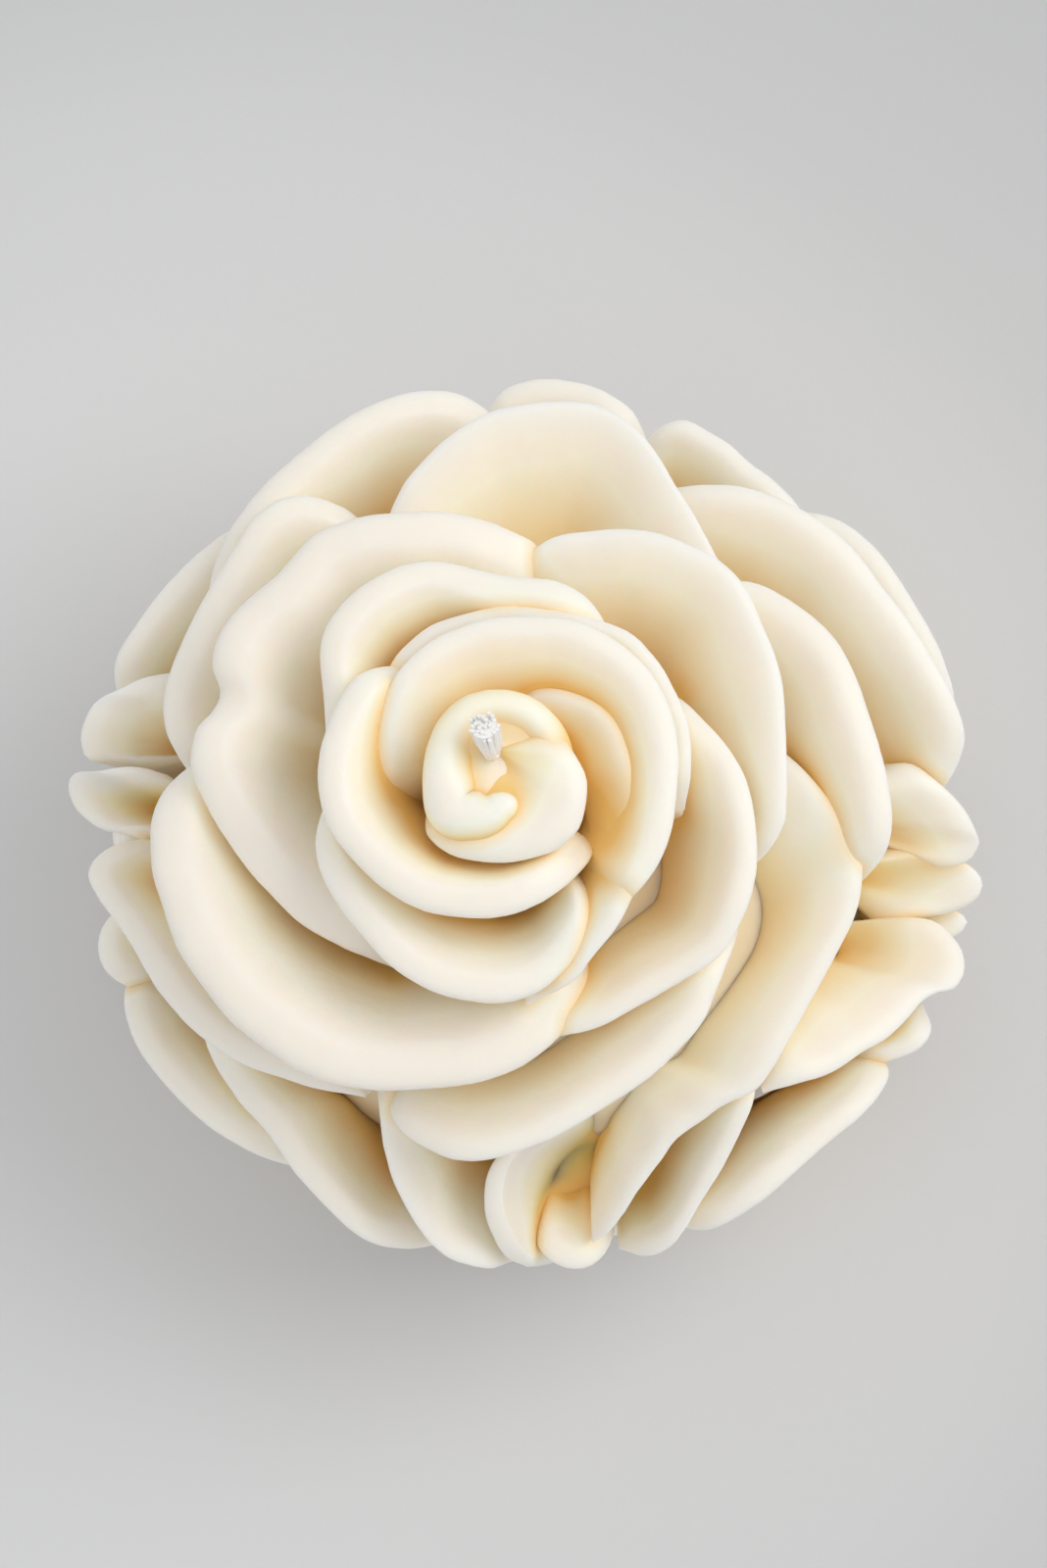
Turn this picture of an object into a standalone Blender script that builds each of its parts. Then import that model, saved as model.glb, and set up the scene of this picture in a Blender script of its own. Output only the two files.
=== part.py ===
"""A rose pillar candle: a core of wax with one large open rose on top and four side roses.

Every petal is its own closed solid. Its lip runs through a few points, each given as a bearing
round the flower's axis, a share of the flower's reach and a share of its height. A section that
aims at the petal's heart is swept along the lip, and the petal is then cut clear of the core and
of the petals inside it, so that the petals seat on one another the way they do in the flower.
"""

import math
from collections import namedtuple

import bmesh
import bpy
from mathutils import Matrix, Vector
from mathutils.bvhtree import BVHTree

# Sizes in metres. The axis of the candle is Z, and the foot stands on the plane through the origin.
WAX_HEIGHT = 0.080
BLOOM_REACH = 0.050
CORE_HEIGHT_SHARE = 0.725
CORE_RADIUS_SHARE = 0.69
FOOT_RADIUS_SHARE = 0.61
FOOT_CHAMFER = 0.0008
SIDE_ROSE_HEIGHT_SHARE = 0.2625
SIDE_ROSE_RADIUS_SHARE = 0.45
SIDE_ROSE_REACH_SHARE = 0.89
CUP_WIDTH_SHARE = 0.32
CUP_DEPTH_SHARE = 0.175
CORE_HEIGHT = WAX_HEIGHT * CORE_HEIGHT_SHARE
CORE_RADIUS = BLOOM_REACH * CORE_RADIUS_SHARE
FOOT_RADIUS = BLOOM_REACH * FOOT_RADIUS_SHARE
SIDE_ROSE_HEIGHT = WAX_HEIGHT * SIDE_ROSE_HEIGHT_SHARE
SIDE_ROSE_RADIUS = BLOOM_REACH * SIDE_ROSE_RADIUS_SHARE
SIDE_ROSE_REACH = BLOOM_REACH * SIDE_ROSE_REACH_SHARE
CUP_WIDTH = BLOOM_REACH * CUP_WIDTH_SHARE
CUP_DEPTH = WAX_HEIGHT * CUP_DEPTH_SHARE

LIP_THICKNESS = 0.0026
LIP_ROLL = 0.0040
TIP_LENGTH = 0.0040
TIP_DROP = 0.0022
SEAT_GAP = 0.0003
LIP_STATION = 0.0087
ROOT_DEPTH = 0.0020

WICK_RADIUS = 0.0011
WICK_STUB_HEIGHT = 0.0035
WICK_CLEARANCE = 0.0003
TAB_RADIUS = 0.0080
TAB_THICKNESS = 0.0004
TAB_CLEARANCE = 0.0003
NECK_HEIGHT = 0.0060
NECK_WALL = 0.0004
OVERRUN = 0.0020
WICK_STUB_TOP = WAX_HEIGHT + WICK_STUB_HEIGHT

MOST_CORNER_SHARE = 2.0
ROUND_SIDES = 24
BORE_SIDES = 12
LEAST_STATIONS = 6
CURVE_STEPS = 8

# The section of a petal. Inner face: shares of the cup's width and depth, from the lip inwards.
INNER_FACE_SHARES = ((0.44, 0.34), (1.00, 1.00))
# The rolled lip: shares of the roll and of its rise, from the ridge to the outer edge.
ROLL_SHARES = ((1.00, 1.00), (0.40, 0.72), (0.00, 0.00))
RISE_SHARE = 0.38
# The outer wall: shares of the lip's thickness under its edge, then shares of the way in and down to
# the root where the wall bulges, and of the cup where it meets the root.
UNDER_LIP_SHARES = (0.44, 1.00)
BULGE_SHARES = (0.31, 0.50)
ROOT_WIDTH_SHARE = 0.90
WIDEST_ROOT_SHARE = 0.68
DEEPEST_ROOT_SHARE = 0.82
WIDEST_CUP_SHARE = 0.78
WIDEST_ROLL_SHARE = 0.45
WIDEST_RIM_SHARE = 0.50
LEAST_TIP_SHARE = 0.12

# The outside of the core above its foot, as shares of its radius and height.
CORE_OUTLINE_SHARES = (
    (0.96, 0.12), (1.00, 0.30), (0.99, 0.56), (0.90, 0.76), (0.70, 0.90), (0.40, 0.98), (0.24, 1.00),
)

# name; heart as (bearing, reach share); shares of roll, cup width, cup depth and root height; lip
# as (bearing in degrees, reach share, height share).
Petal = namedtuple("Petal", "name heart_share roll_share cup_share drop_share root_share lip_shares")

ON_AXIS = (0, 0)

TOP_ROSE_SHARES = (
    Petal("bud_heart", ON_AXIS, 0.50, 0.60, 0.08, 0.70, (
        (-64, 0.112, 0.975), (-76, 0.138, 0.985), (-90, 0.158, 0.990), (-102, 0.170, 0.990),
        (-115, 0.182, 0.988), (-132, 0.168, 0.988), (-150, 0.144, 0.990), (-169, 0.128, 0.990),
        (-196, 0.116, 0.992), (-222, 0.112, 0.994), (-252, 0.116, 0.994), (-276, 0.118, 0.992),
        (-298, 0.126, 0.988), (-317, 0.134, 0.984), (-336, 0.142, 0.978), (-353, 0.146, 0.970),
        (-370, 0.144, 0.955))),
    Petal("bud_wrap", ON_AXIS, 0.60, 0.60, 0.20, 0.70, (
        (34, 0.112, 0.960), (16, 0.132, 0.974), (0, 0.150, 0.980), (-9, 0.168, 0.981),
        (-19, 0.190, 0.980), (-30, 0.206, 0.978), (-42, 0.220, 0.972), (-57, 0.222, 0.968),
        (-75, 0.212, 0.966), (-99, 0.208, 0.966), (-119, 0.210, 0.964), (-132, 0.208, 0.958),
        (-145, 0.196, 0.946), (-156, 0.176, 0.920))),
    Petal("inner_petal_1", ON_AXIS, 0.62, 0.46, 0.40, 0.68, (
        (132, 0.272, 0.890), (145, 0.304, 0.925), (155, 0.316, 0.938), (166, 0.322, 0.944),
        (176, 0.330, 0.948), (186, 0.338, 0.950), (196, 0.344, 0.950), (205, 0.342, 0.950),
        (218, 0.334, 0.950), (232, 0.328, 0.950), (244, 0.326, 0.950), (255, 0.318, 0.950),
        (266, 0.314, 0.950), (277, 0.306, 0.948), (289, 0.294, 0.944), (300, 0.274, 0.938),
        (309, 0.250, 0.925), (318, 0.222, 0.900))),
    Petal("inner_petal_2", ON_AXIS, 0.42, 0.56, 0.56, 0.68, (
        (200, 0.226, 0.850), (188, 0.234, 0.895), (170, 0.232, 0.925), (151, 0.242, 0.935),
        (139, 0.248, 0.938), (126, 0.252, 0.940), (111, 0.258, 0.940), (96, 0.264, 0.940),
        (80, 0.274, 0.942), (65, 0.292, 0.945), (54, 0.306, 0.947), (42, 0.320, 0.949),
        (31, 0.332, 0.950), (22, 0.340, 0.950), (12, 0.346, 0.950), (0, 0.350, 0.950),
        (-9, 0.354, 0.950), (-19, 0.362, 0.946), (-28, 0.370, 0.940), (-36, 0.374, 0.932),
        (-45, 0.372, 0.918), (-53, 0.362, 0.880))),
    Petal("inner_petal_3", ON_AXIS, 0.28, 0.44, 0.40, 0.68, (
        (78, 0.138, 0.870), (66, 0.156, 0.890), (52, 0.180, 0.900), (38, 0.204, 0.908),
        (25, 0.230, 0.915), (12, 0.250, 0.920), (-5, 0.274, 0.922), (-17, 0.300, 0.922),
        (-27, 0.324, 0.920), (-36, 0.348, 0.918), (-45, 0.370, 0.914), (-55, 0.396, 0.906),
        (-65, 0.420, 0.892), (-70, 0.440, 0.880), (-76, 0.450, 0.866), (-84, 0.452, 0.840))),
    Petal("inner_petal_4", ON_AXIS, 0.60, 0.58, 0.50, 0.64, (
        (189, 0.344, 0.840), (196, 0.358, 0.885), (205, 0.384, 0.902), (215, 0.402, 0.905),
        (228, 0.416, 0.905), (242, 0.440, 0.900), (252, 0.454, 0.896), (261, 0.460, 0.892),
        (270, 0.462, 0.888), (280, 0.446, 0.884), (288, 0.416, 0.884), (296, 0.380, 0.886),
        (302, 0.338, 0.880), (307, 0.310, 0.850))),
    Petal("inner_petal_5", ON_AXIS, 0.24, 0.30, 0.30, 0.66, (
        (156, 0.256, 0.845), (149, 0.270, 0.872), (136, 0.286, 0.888), (125, 0.294, 0.894),
        (113, 0.302, 0.898), (91, 0.302, 0.900), (81, 0.306, 0.902), (67, 0.318, 0.904),
        (57, 0.332, 0.906), (44, 0.354, 0.908), (35, 0.360, 0.908), (25, 0.364, 0.906),
        (9, 0.372, 0.902), (-4, 0.370, 0.892), (-13, 0.364, 0.860))),
    Petal("inner_petal_6", (120, 0.10), 0.66, 0.50, 0.52, 0.64, (
        (180, 0.318, 0.830), (174, 0.334, 0.862), (167, 0.346, 0.880), (160, 0.360, 0.890),
        (153, 0.384, 0.896), (148, 0.406, 0.898), (143, 0.422, 0.900), (138, 0.430, 0.902),
        (131, 0.436, 0.902), (123, 0.436, 0.902), (115, 0.432, 0.900), (108, 0.420, 0.898),
        (101, 0.398, 0.896), (94, 0.378, 0.894), (87, 0.366, 0.892), (80, 0.368, 0.890),
        (73, 0.374, 0.888), (67, 0.372, 0.886), (60, 0.362, 0.880), (52, 0.342, 0.862),
        (46, 0.330, 0.835))),
    Petal("middle_petal_1", (160, 0.08), 0.88, 0.92, 0.90, 0.56, (
        (76, 0.432, 0.780), (82, 0.462, 0.812), (87, 0.478, 0.826), (94, 0.500, 0.838),
        (102, 0.526, 0.846), (110, 0.546, 0.850), (117, 0.570, 0.850), (123, 0.588, 0.848),
        (128, 0.598, 0.846), (133, 0.592, 0.846), (139, 0.592, 0.844), (144, 0.606, 0.840),
        (149, 0.618, 0.838), (154, 0.620, 0.836), (159, 0.610, 0.830), (163, 0.582, 0.818),
        (167, 0.586, 0.820), (171, 0.608, 0.826), (176, 0.612, 0.826), (180, 0.604, 0.822),
        (186, 0.580, 0.818), (193, 0.552, 0.812), (200, 0.530, 0.806), (207, 0.508, 0.800),
        (216, 0.488, 0.790), (226, 0.456, 0.776), (238, 0.424, 0.745))),
    Petal("middle_petal_2", (35, 0.16), 0.24, 0.76, 0.86, 0.56, (
        (91, 0.398, 0.775), (86, 0.424, 0.808), (82, 0.450, 0.822), (77, 0.478, 0.832),
        (71, 0.502, 0.838), (64, 0.530, 0.844), (57, 0.556, 0.848), (50, 0.574, 0.850),
        (44, 0.588, 0.850), (37, 0.590, 0.850), (29, 0.580, 0.848), (22, 0.574, 0.846),
        (15, 0.566, 0.843), (7, 0.556, 0.838), (-1, 0.552, 0.832), (-9, 0.556, 0.822),
        (-13, 0.550, 0.810), (-17, 0.532, 0.790), (-20, 0.500, 0.750))),
    Petal("middle_petal_3", (-20, 0.12), 0.42, 0.66, 0.80, 0.56, (
        (28, 0.364, 0.770), (22, 0.378, 0.815), (14, 0.404, 0.835), (5, 0.442, 0.843),
        (-2, 0.470, 0.845), (-10, 0.496, 0.844), (-17, 0.516, 0.840), (-24, 0.532, 0.834),
        (-32, 0.546, 0.825), (-40, 0.552, 0.812), (-48, 0.534, 0.800), (-58, 0.520, 0.790),
        (-69, 0.520, 0.778), (-77, 0.514, 0.764), (-84, 0.500, 0.735))),
    Petal("middle_petal_4", (225, 0.14), 1.00, 0.92, 0.72, 0.54, (
        (171, 0.580, 0.700), (175, 0.618, 0.748), (179, 0.658, 0.768), (183, 0.688, 0.780),
        (187, 0.704, 0.787), (192, 0.710, 0.792), (197, 0.714, 0.796), (208, 0.718, 0.798),
        (218, 0.714, 0.798), (224, 0.710, 0.797), (230, 0.702, 0.795), (235, 0.696, 0.792),
        (241, 0.682, 0.788), (247, 0.662, 0.784), (253, 0.636, 0.780), (260, 0.610, 0.776),
        (267, 0.588, 0.772), (273, 0.564, 0.768), (279, 0.528, 0.764), (284, 0.496, 0.760),
        (288, 0.466, 0.755), (292, 0.428, 0.740), (296, 0.400, 0.705))),
    Petal("outer_petal_1", (280, 0.20), 0.46, 0.72, 0.66, 0.50, (
        (-32, 0.530, 0.700), (-37, 0.548, 0.735), (-42, 0.566, 0.745), (-46, 0.582, 0.745),
        (-51, 0.606, 0.742), (-57, 0.620, 0.738), (-64, 0.640, 0.732), (-73, 0.662, 0.724),
        (-81, 0.690, 0.716), (-88, 0.716, 0.708), (-94, 0.734, 0.700), (-99, 0.738, 0.690),
        (-104, 0.725, 0.675), (-108, 0.706, 0.662), (-111, 0.679, 0.648), (-114, 0.640, 0.620))),
    Petal("outer_petal_2", (12, 0.22), 0.52, 0.72, 0.66, 0.50, (
        (47, 0.560, 0.700), (43, 0.596, 0.735), (39, 0.630, 0.748), (34, 0.658, 0.755),
        (28, 0.686, 0.760), (22, 0.706, 0.762), (16, 0.716, 0.762), (10, 0.722, 0.760),
        (4, 0.736, 0.756), (-1, 0.748, 0.750), (-6, 0.758, 0.740), (-10, 0.756, 0.722),
        (-13, 0.734, 0.690), (-16, 0.700, 0.640))),
    Petal("outer_petal_3", (80, 0.22), 0.18, 1.00, 0.92, 0.52, (
        (120, 0.538, 0.690), (116, 0.570, 0.724), (113, 0.606, 0.738), (108, 0.652, 0.748),
        (102, 0.698, 0.752), (97, 0.730, 0.754), (92, 0.756, 0.755), (86, 0.772, 0.755),
        (81, 0.782, 0.754), (76, 0.784, 0.752), (71, 0.764, 0.752), (66, 0.728, 0.753),
        (61, 0.688, 0.754), (55, 0.650, 0.756), (48, 0.616, 0.756), (42, 0.596, 0.745),
        (37, 0.570, 0.710))),
    Petal("outer_petal_4", (150, 0.24), 0.62, 0.62, 0.52, 0.48, (
        (117, 0.620, 0.655), (120, 0.676, 0.690), (124, 0.732, 0.708), (128, 0.756, 0.714),
        (133, 0.760, 0.716), (138, 0.746, 0.716), (143, 0.734, 0.716), (149, 0.730, 0.716),
        (156, 0.728, 0.714), (163, 0.724, 0.708), (168, 0.710, 0.700), (172, 0.684, 0.690),
        (176, 0.648, 0.665))),
    Petal("outer_petal_5", (33, 0.30), 0.40, 0.72, 0.62, 0.46, (
        (67, 0.676, 0.630), (62, 0.710, 0.668), (58, 0.738, 0.680), (53, 0.772, 0.686),
        (47, 0.802, 0.690), (41, 0.824, 0.692), (35, 0.840, 0.692), (29, 0.846, 0.690),
        (22, 0.864, 0.685), (16, 0.884, 0.674), (11, 0.902, 0.660), (7, 0.908, 0.640),
        (4, 0.888, 0.612), (1, 0.846, 0.570))),
    Petal("outer_petal_6", (122, 0.36), 0.66, 0.66, 0.58, 0.44, (
        (91, 0.770, 0.560), (94, 0.820, 0.602), (98, 0.856, 0.628), (102, 0.870, 0.640),
        (106, 0.872, 0.648), (111, 0.866, 0.654), (117, 0.852, 0.658), (124, 0.834, 0.660),
        (131, 0.818, 0.660), (138, 0.796, 0.656), (144, 0.766, 0.650), (150, 0.730, 0.635))),
    Petal("outer_petal_7", (-58, 0.40), 0.34, 0.76, 0.56, 0.44, (
        (12, 0.520, 0.680), (7, 0.548, 0.712), (2, 0.590, 0.716), (-3, 0.636, 0.714),
        (-7, 0.678, 0.708), (-11, 0.706, 0.700), (-15, 0.718, 0.692), (-20, 0.724, 0.682),
        (-27, 0.720, 0.672), (-34, 0.722, 0.662), (-42, 0.734, 0.648), (-47, 0.750, 0.636),
        (-51, 0.758, 0.626), (-56, 0.742, 0.618), (-60, 0.742, 0.606), (-65, 0.750, 0.594),
        (-69, 0.780, 0.578), (-73, 0.812, 0.558), (-76, 0.846, 0.535), (-79, 0.874, 0.510),
        (-81, 0.880, 0.485))),
    Petal("outer_petal_8", (210, 0.36), 0.60, 0.46, 0.40, 0.42, (
        (183, 0.780, 0.540), (185, 0.850, 0.568), (188, 0.886, 0.586), (192, 0.868, 0.606),
        (197, 0.838, 0.622), (204, 0.818, 0.636), (210, 0.806, 0.644), (216, 0.792, 0.648),
        (222, 0.768, 0.650), (228, 0.740, 0.650), (236, 0.700, 0.642), (243, 0.666, 0.625))),
)

SHOULDER_SHARES = (
    Petal("shoulder_petal_01", (150, 0.48), 0.50, 0.50, 0.46, 0.08, (
        (130, 0.780, 0.520), (134, 0.836, 0.566), (140, 0.852, 0.580), (147, 0.868, 0.580),
        (154, 0.888, 0.568), (159, 0.900, 0.548), (163, 0.880, 0.510), (166, 0.840, 0.450))),
    Petal("shoulder_petal_02", (165, 0.62), 0.50, 0.62, 0.32, 0.10, (
        (157, 0.742, 0.600), (160, 0.804, 0.608), (163, 0.855, 0.600), (165, 0.900, 0.581),
        (168, 0.919, 0.562), (170, 0.923, 0.544), (172, 0.907, 0.531), (172, 0.855, 0.528),
        (172, 0.778, 0.530))),
    Petal("shoulder_petal_03", (197, 0.42), 0.50, 0.42, 0.40, 0.08, (
        (189, 0.800, 0.480), (193, 0.868, 0.520), (195, 0.900, 0.525), (198, 0.918, 0.520),
        (201, 0.908, 0.505), (204, 0.860, 0.460))),
    Petal("shoulder_petal_04", (219, 0.50), 0.54, 0.50, 0.46, 0.08, (
        (198, 0.850, 0.430), (202, 0.894, 0.470), (206, 0.914, 0.490), (211, 0.922, 0.498),
        (218, 0.914, 0.498), (225, 0.902, 0.490), (231, 0.880, 0.470), (237, 0.850, 0.430))),
    Petal("shoulder_petal_05", (245, 0.54), 0.56, 0.50, 0.50, 0.22, (
        (212, 0.750, 0.560), (216, 0.788, 0.575), (221, 0.808, 0.570), (226, 0.820, 0.560),
        (231, 0.828, 0.545), (237, 0.860, 0.525), (241, 0.880, 0.510), (246, 0.908, 0.490),
        (250, 0.922, 0.470), (254, 0.912, 0.445), (258, 0.880, 0.400))),
    Petal("shoulder_petal_06", (268, 0.40), 0.46, 0.66, 0.44, 0.36, (
        (243, 0.620, 0.620), (246, 0.670, 0.630), (249, 0.740, 0.612), (252, 0.800, 0.585),
        (255, 0.850, 0.555), (258, 0.892, 0.525), (261, 0.916, 0.500), (265, 0.922, 0.470),
        (268, 0.900, 0.420))),
    Petal("shoulder_petal_07", (290, 0.42), 0.34, 0.44, 0.44, 0.36, (
        (312, 0.700, 0.560), (309, 0.756, 0.590), (305, 0.790, 0.575), (300, 0.828, 0.550),
        (295, 0.870, 0.525), (291, 0.910, 0.500), (288, 0.930, 0.475), (285, 0.926, 0.445),
        (282, 0.890, 0.400))),
    Petal("shoulder_petal_08", (307, 0.52), 0.50, 0.52, 0.48, 0.08, (
        (289, 0.860, 0.400), (292, 0.906, 0.440), (295, 0.926, 0.470), (300, 0.926, 0.492),
        (306, 0.918, 0.502), (313, 0.918, 0.505), (319, 0.924, 0.500), (324, 0.916, 0.480),
        (327, 0.870, 0.440))),
    Petal("shoulder_petal_09", (331, 0.46), 0.44, 0.80, 0.36, 0.10, (
        (310, 0.764, 0.600), (315, 0.801, 0.600), (319, 0.833, 0.592), (324, 0.856, 0.583),
        (327, 0.878, 0.573), (331, 0.894, 0.562), (334, 0.905, 0.552), (336, 0.926, 0.542),
        (337, 0.948, 0.532), (339, 0.956, 0.522), (341, 0.950, 0.515), (343, 0.926, 0.510),
        (345, 0.875, 0.505), (345, 0.812, 0.505))),
    Petal("shoulder_petal_10", (328, 0.46), 0.36, 0.34, 0.34, 0.22, (
        (322, 0.850, 0.440), (326, 0.900, 0.470), (329, 0.935, 0.478), (332, 0.940, 0.475),
        (335, 0.900, 0.440))),
    Petal("shoulder_petal_11", (57, 0.40), 0.36, 0.46, 0.42, 0.08, (
        (73, 0.780, 0.540), (70, 0.836, 0.576), (67, 0.868, 0.590), (64, 0.868, 0.594),
        (60, 0.862, 0.598), (56, 0.850, 0.600), (51, 0.846, 0.600), (46, 0.836, 0.590),
        (42, 0.810, 0.560))),
    Petal("shoulder_petal_12", (28, 0.50), 0.40, 0.50, 0.46, 0.08, (
        (49, 0.810, 0.520), (46, 0.850, 0.560), (42, 0.880, 0.576), (37, 0.896, 0.582),
        (31, 0.904, 0.580), (25, 0.908, 0.574), (20, 0.914, 0.562), (15, 0.916, 0.540),
        (11, 0.900, 0.500))),
    Petal("shoulder_petal_13", (316, 0.900), 0.50, 0.62, 0.62, 0.42, (
        (284, 0.560, 0.585), (275, 0.640, 0.600), (270, 0.688, 0.594), (268, 0.730, 0.588),
        (267, 0.772, 0.575), (267, 0.816, 0.556), (268, 0.859, 0.525), (269, 0.898, 0.487),
        (271, 0.915, 0.450))),
    Petal("shoulder_petal_14", (359, 0.60), 0.60, 0.70, 0.06, 0.42, (
        (6, 0.752, 0.600), (5, 0.803, 0.608), (2, 0.851, 0.606), (359, 0.898, 0.588),
        (356, 0.929, 0.569), (355, 0.933, 0.550), (353, 0.912, 0.537), (352, 0.861, 0.534),
        (353, 0.791, 0.536))),
    Petal("shoulder_petal_15", (349, 0.640), 0.50, 0.90, -0.04, 0.42, (
        (354, 0.770, 0.535), (353, 0.820, 0.530), (353, 0.881, 0.522), (352, 0.930, 0.506),
        (351, 0.946, 0.494), (350, 0.930, 0.487), (348, 0.874, 0.488), (346, 0.810, 0.490),
        (344, 0.770, 0.490))),
    Petal("shoulder_petal_16", (116, 0.42), 0.50, 0.52, 0.48, 0.08, (
        (96, 0.790, 0.380), (101, 0.840, 0.430), (108, 0.868, 0.458), (116, 0.874, 0.465),
        (124, 0.868, 0.460), (131, 0.846, 0.440), (136, 0.800, 0.400))),
)

# The petals that hang over the side roses, in the frame of the whole candle.
SKIRT_SHARES = (
    Petal("right_rose_skirt_petal", (346, 0.690), 0.50, 0.80, -0.02, 0.28, (
        (350, 0.790, 0.462), (349, 0.845, 0.458), (348, 0.900, 0.448), (347, 0.932, 0.438),
        (345, 0.916, 0.431), (343, 0.859, 0.431), (341, 0.790, 0.435))),
    Petal("back_rose_skirt_petal", (84, 0.58), 0.46, 0.62, 0.40, 0.42, (
        (70, 0.800, 0.520), (74, 0.866, 0.548), (78, 0.895, 0.552), (81, 0.908, 0.545),
        (85, 0.915, 0.540), (89, 0.912, 0.535), (93, 0.890, 0.530), (97, 0.820, 0.510))),
    Petal("left_rose_skirt_petal", (178, 0.64), 0.50, 0.56, 0.32, 0.42, (
        (173, 0.734, 0.560), (173, 0.806, 0.574), (174, 0.871, 0.565), (174, 0.925, 0.537),
        (175, 0.948, 0.512), (177, 0.943, 0.500), (179, 0.917, 0.500), (181, 0.872, 0.508),
        (182, 0.814, 0.518), (184, 0.758, 0.520))),
    Petal("front_rose_skirt_petal", (276, 0.660), 0.50, 0.80, 0.04, 0.38, (
        (272, 0.770, 0.505), (271, 0.847, 0.487), (272, 0.893, 0.469), (274, 0.921, 0.450),
        (277, 0.928, 0.438), (279, 0.914, 0.440), (281, 0.870, 0.456), (282, 0.810, 0.480))),
)

SIDE_ROSE_SHARES = (
    Petal("bud", ON_AXIS, 0.44, 0.40, 0.12, 0.44, (
        (-60, 0.140, 0.975), (-78, 0.184, 0.992), (-100, 0.212, 0.998), (-125, 0.218, 1.000),
        (-155, 0.204, 1.000), (-185, 0.198, 1.000), (-215, 0.202, 1.000), (-250, 0.208, 0.998),
        (-280, 0.216, 0.994), (-310, 0.222, 0.984), (-340, 0.222, 0.955))),
    Petal("inner_petal", ON_AXIS, 0.46, 0.40, 0.36, 0.44, (
        (30, 0.240, 0.930), (5, 0.300, 0.972), (-20, 0.344, 0.984), (-45, 0.370, 0.988),
        (-75, 0.384, 0.988), (-105, 0.386, 0.984), (-135, 0.374, 0.978), (-165, 0.350, 0.966),
        (-190, 0.310, 0.930))),
    Petal("middle_petal", ON_AXIS, 0.46, 0.46, 0.44, 0.44, (
        (205, 0.330, 0.900), (185, 0.410, 0.942), (165, 0.476, 0.954), (140, 0.520, 0.958),
        (115, 0.542, 0.958), (90, 0.550, 0.956), (65, 0.546, 0.952), (40, 0.528, 0.945),
        (15, 0.496, 0.932), (-8, 0.440, 0.890))),
    Petal("outer_petal", ON_AXIS, 0.50, 0.56, 0.50, 0.40, (
        (38, 0.560, 0.850), (18, 0.650, 0.900), (0, 0.706, 0.912), (-25, 0.740, 0.914),
        (-50, 0.752, 0.912), (-75, 0.754, 0.908), (-100, 0.750, 0.902), (-125, 0.732, 0.894),
        (-150, 0.694, 0.880), (-176, 0.600, 0.835))),
)

# name; bearing of the rose's axis; turn of its inner petals about that axis; share of the full reach.
SIDE_ROSES = (
    ("right", 352, 10, 0.98), ("back", 84, -35, 1.0), ("left", 180, 20, 1.0), ("front", 267, 0, 0.97),
)
TURNED_PETALS = ("bud", "inner_petal", "middle_petal")

WAX_COLOUR = (0.86, 0.80, 0.70, 1.0)
CORE_COLOUR = (0.80, 0.69, 0.52, 1.0)
COTTON_COLOUR = (0.90, 0.88, 0.82, 1.0)
TINPLATE_COLOUR = (0.62, 0.63, 0.65, 1.0)


def clear_scene():
    """Removes whatever the scene starts with."""
    for obj in list(bpy.data.objects):
        bpy.data.objects.remove(obj, do_unlink=True)


def make_material(name, colour, roughness, metallic=0.0):
    """A plain material in one colour."""
    material = bpy.data.materials.new(name)
    material.use_nodes = True
    shader = material.node_tree.nodes["Principled BSDF"]
    shader.inputs["Base Color"].default_value = colour
    shader.inputs["Roughness"].default_value = roughness
    shader.inputs["Metallic"].default_value = metallic
    return material


def add_object(name, mesh, material):
    """An object in the scene that shows this mesh in this material."""
    obj = bpy.data.objects.new(name, mesh)
    bpy.context.scene.collection.objects.link(obj)
    mesh.materials.clear()
    mesh.materials.append(material)
    return obj


def face_outwards(bm):
    """Turns every face of a closed mesh to the outside."""
    bmesh.ops.recalc_face_normals(bm, faces=bm.faces)
    if bm.calc_volume(signed=True) < 0:
        bmesh.ops.reverse_faces(bm, faces=bm.faces)


def mesh_from(name, bm):
    """A mesh that is smooth but for its sharp edges."""
    mesh = bpy.data.meshes.new(name)
    bm.to_mesh(mesh)
    bm.free()
    mesh.shade_smooth()
    mesh.set_sharp_from_angle(angle=math.radians(40))
    return mesh


def polar_point(bearing, reach, height):
    """A point of a flower's frame, from its bearing in degrees, its reach and its height."""
    angle = math.radians(bearing)
    return Vector((reach * math.cos(angle), reach * math.sin(angle), height))


def on_curve(before, start, end, after, share):
    """A point between start and end on the smooth curve through all four."""
    along = (end - before) / 2
    onward = (after - start) / 2
    rise = start * 2 - end * 2 + along + onward
    bend = end * 3 - start * 3 - along * 2 - onward
    return ((rise * share + bend) * share + along) * share + start


def smooth_line(points):
    """Close points on the smooth curve through the given ones."""
    padded = [points[0] * 2 - points[1], *points, points[-1] * 2 - points[-2]]
    line = []
    for before, start, end, after in zip(padded, padded[1:], padded[2:], padded[3:]):
        for step in range(CURVE_STEPS):
            line.append(on_curve(before, start, end, after, step / CURVE_STEPS))
    line.append(points[-1])
    return line


def even_stations(line, spacing):
    """(point, distance from the start, whole length) at even steps along the line."""
    lengths = [0.0]
    for start, end in zip(line, line[1:]):
        lengths.append(lengths[-1] + (end - start).length)
    count = max(LEAST_STATIONS, round(lengths[-1] / spacing))
    stations = []
    piece = 0
    for index in range(count + 1):
        wanted = lengths[-1] * index / count
        while piece < len(line) - 2 and lengths[piece + 1] < wanted:
            piece += 1
        share = (wanted - lengths[piece]) / (lengths[piece + 1] - lengths[piece])
        stations.append((line[piece].lerp(line[piece + 1], min(1, share)), wanted, lengths[-1]))
    return stations


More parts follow.
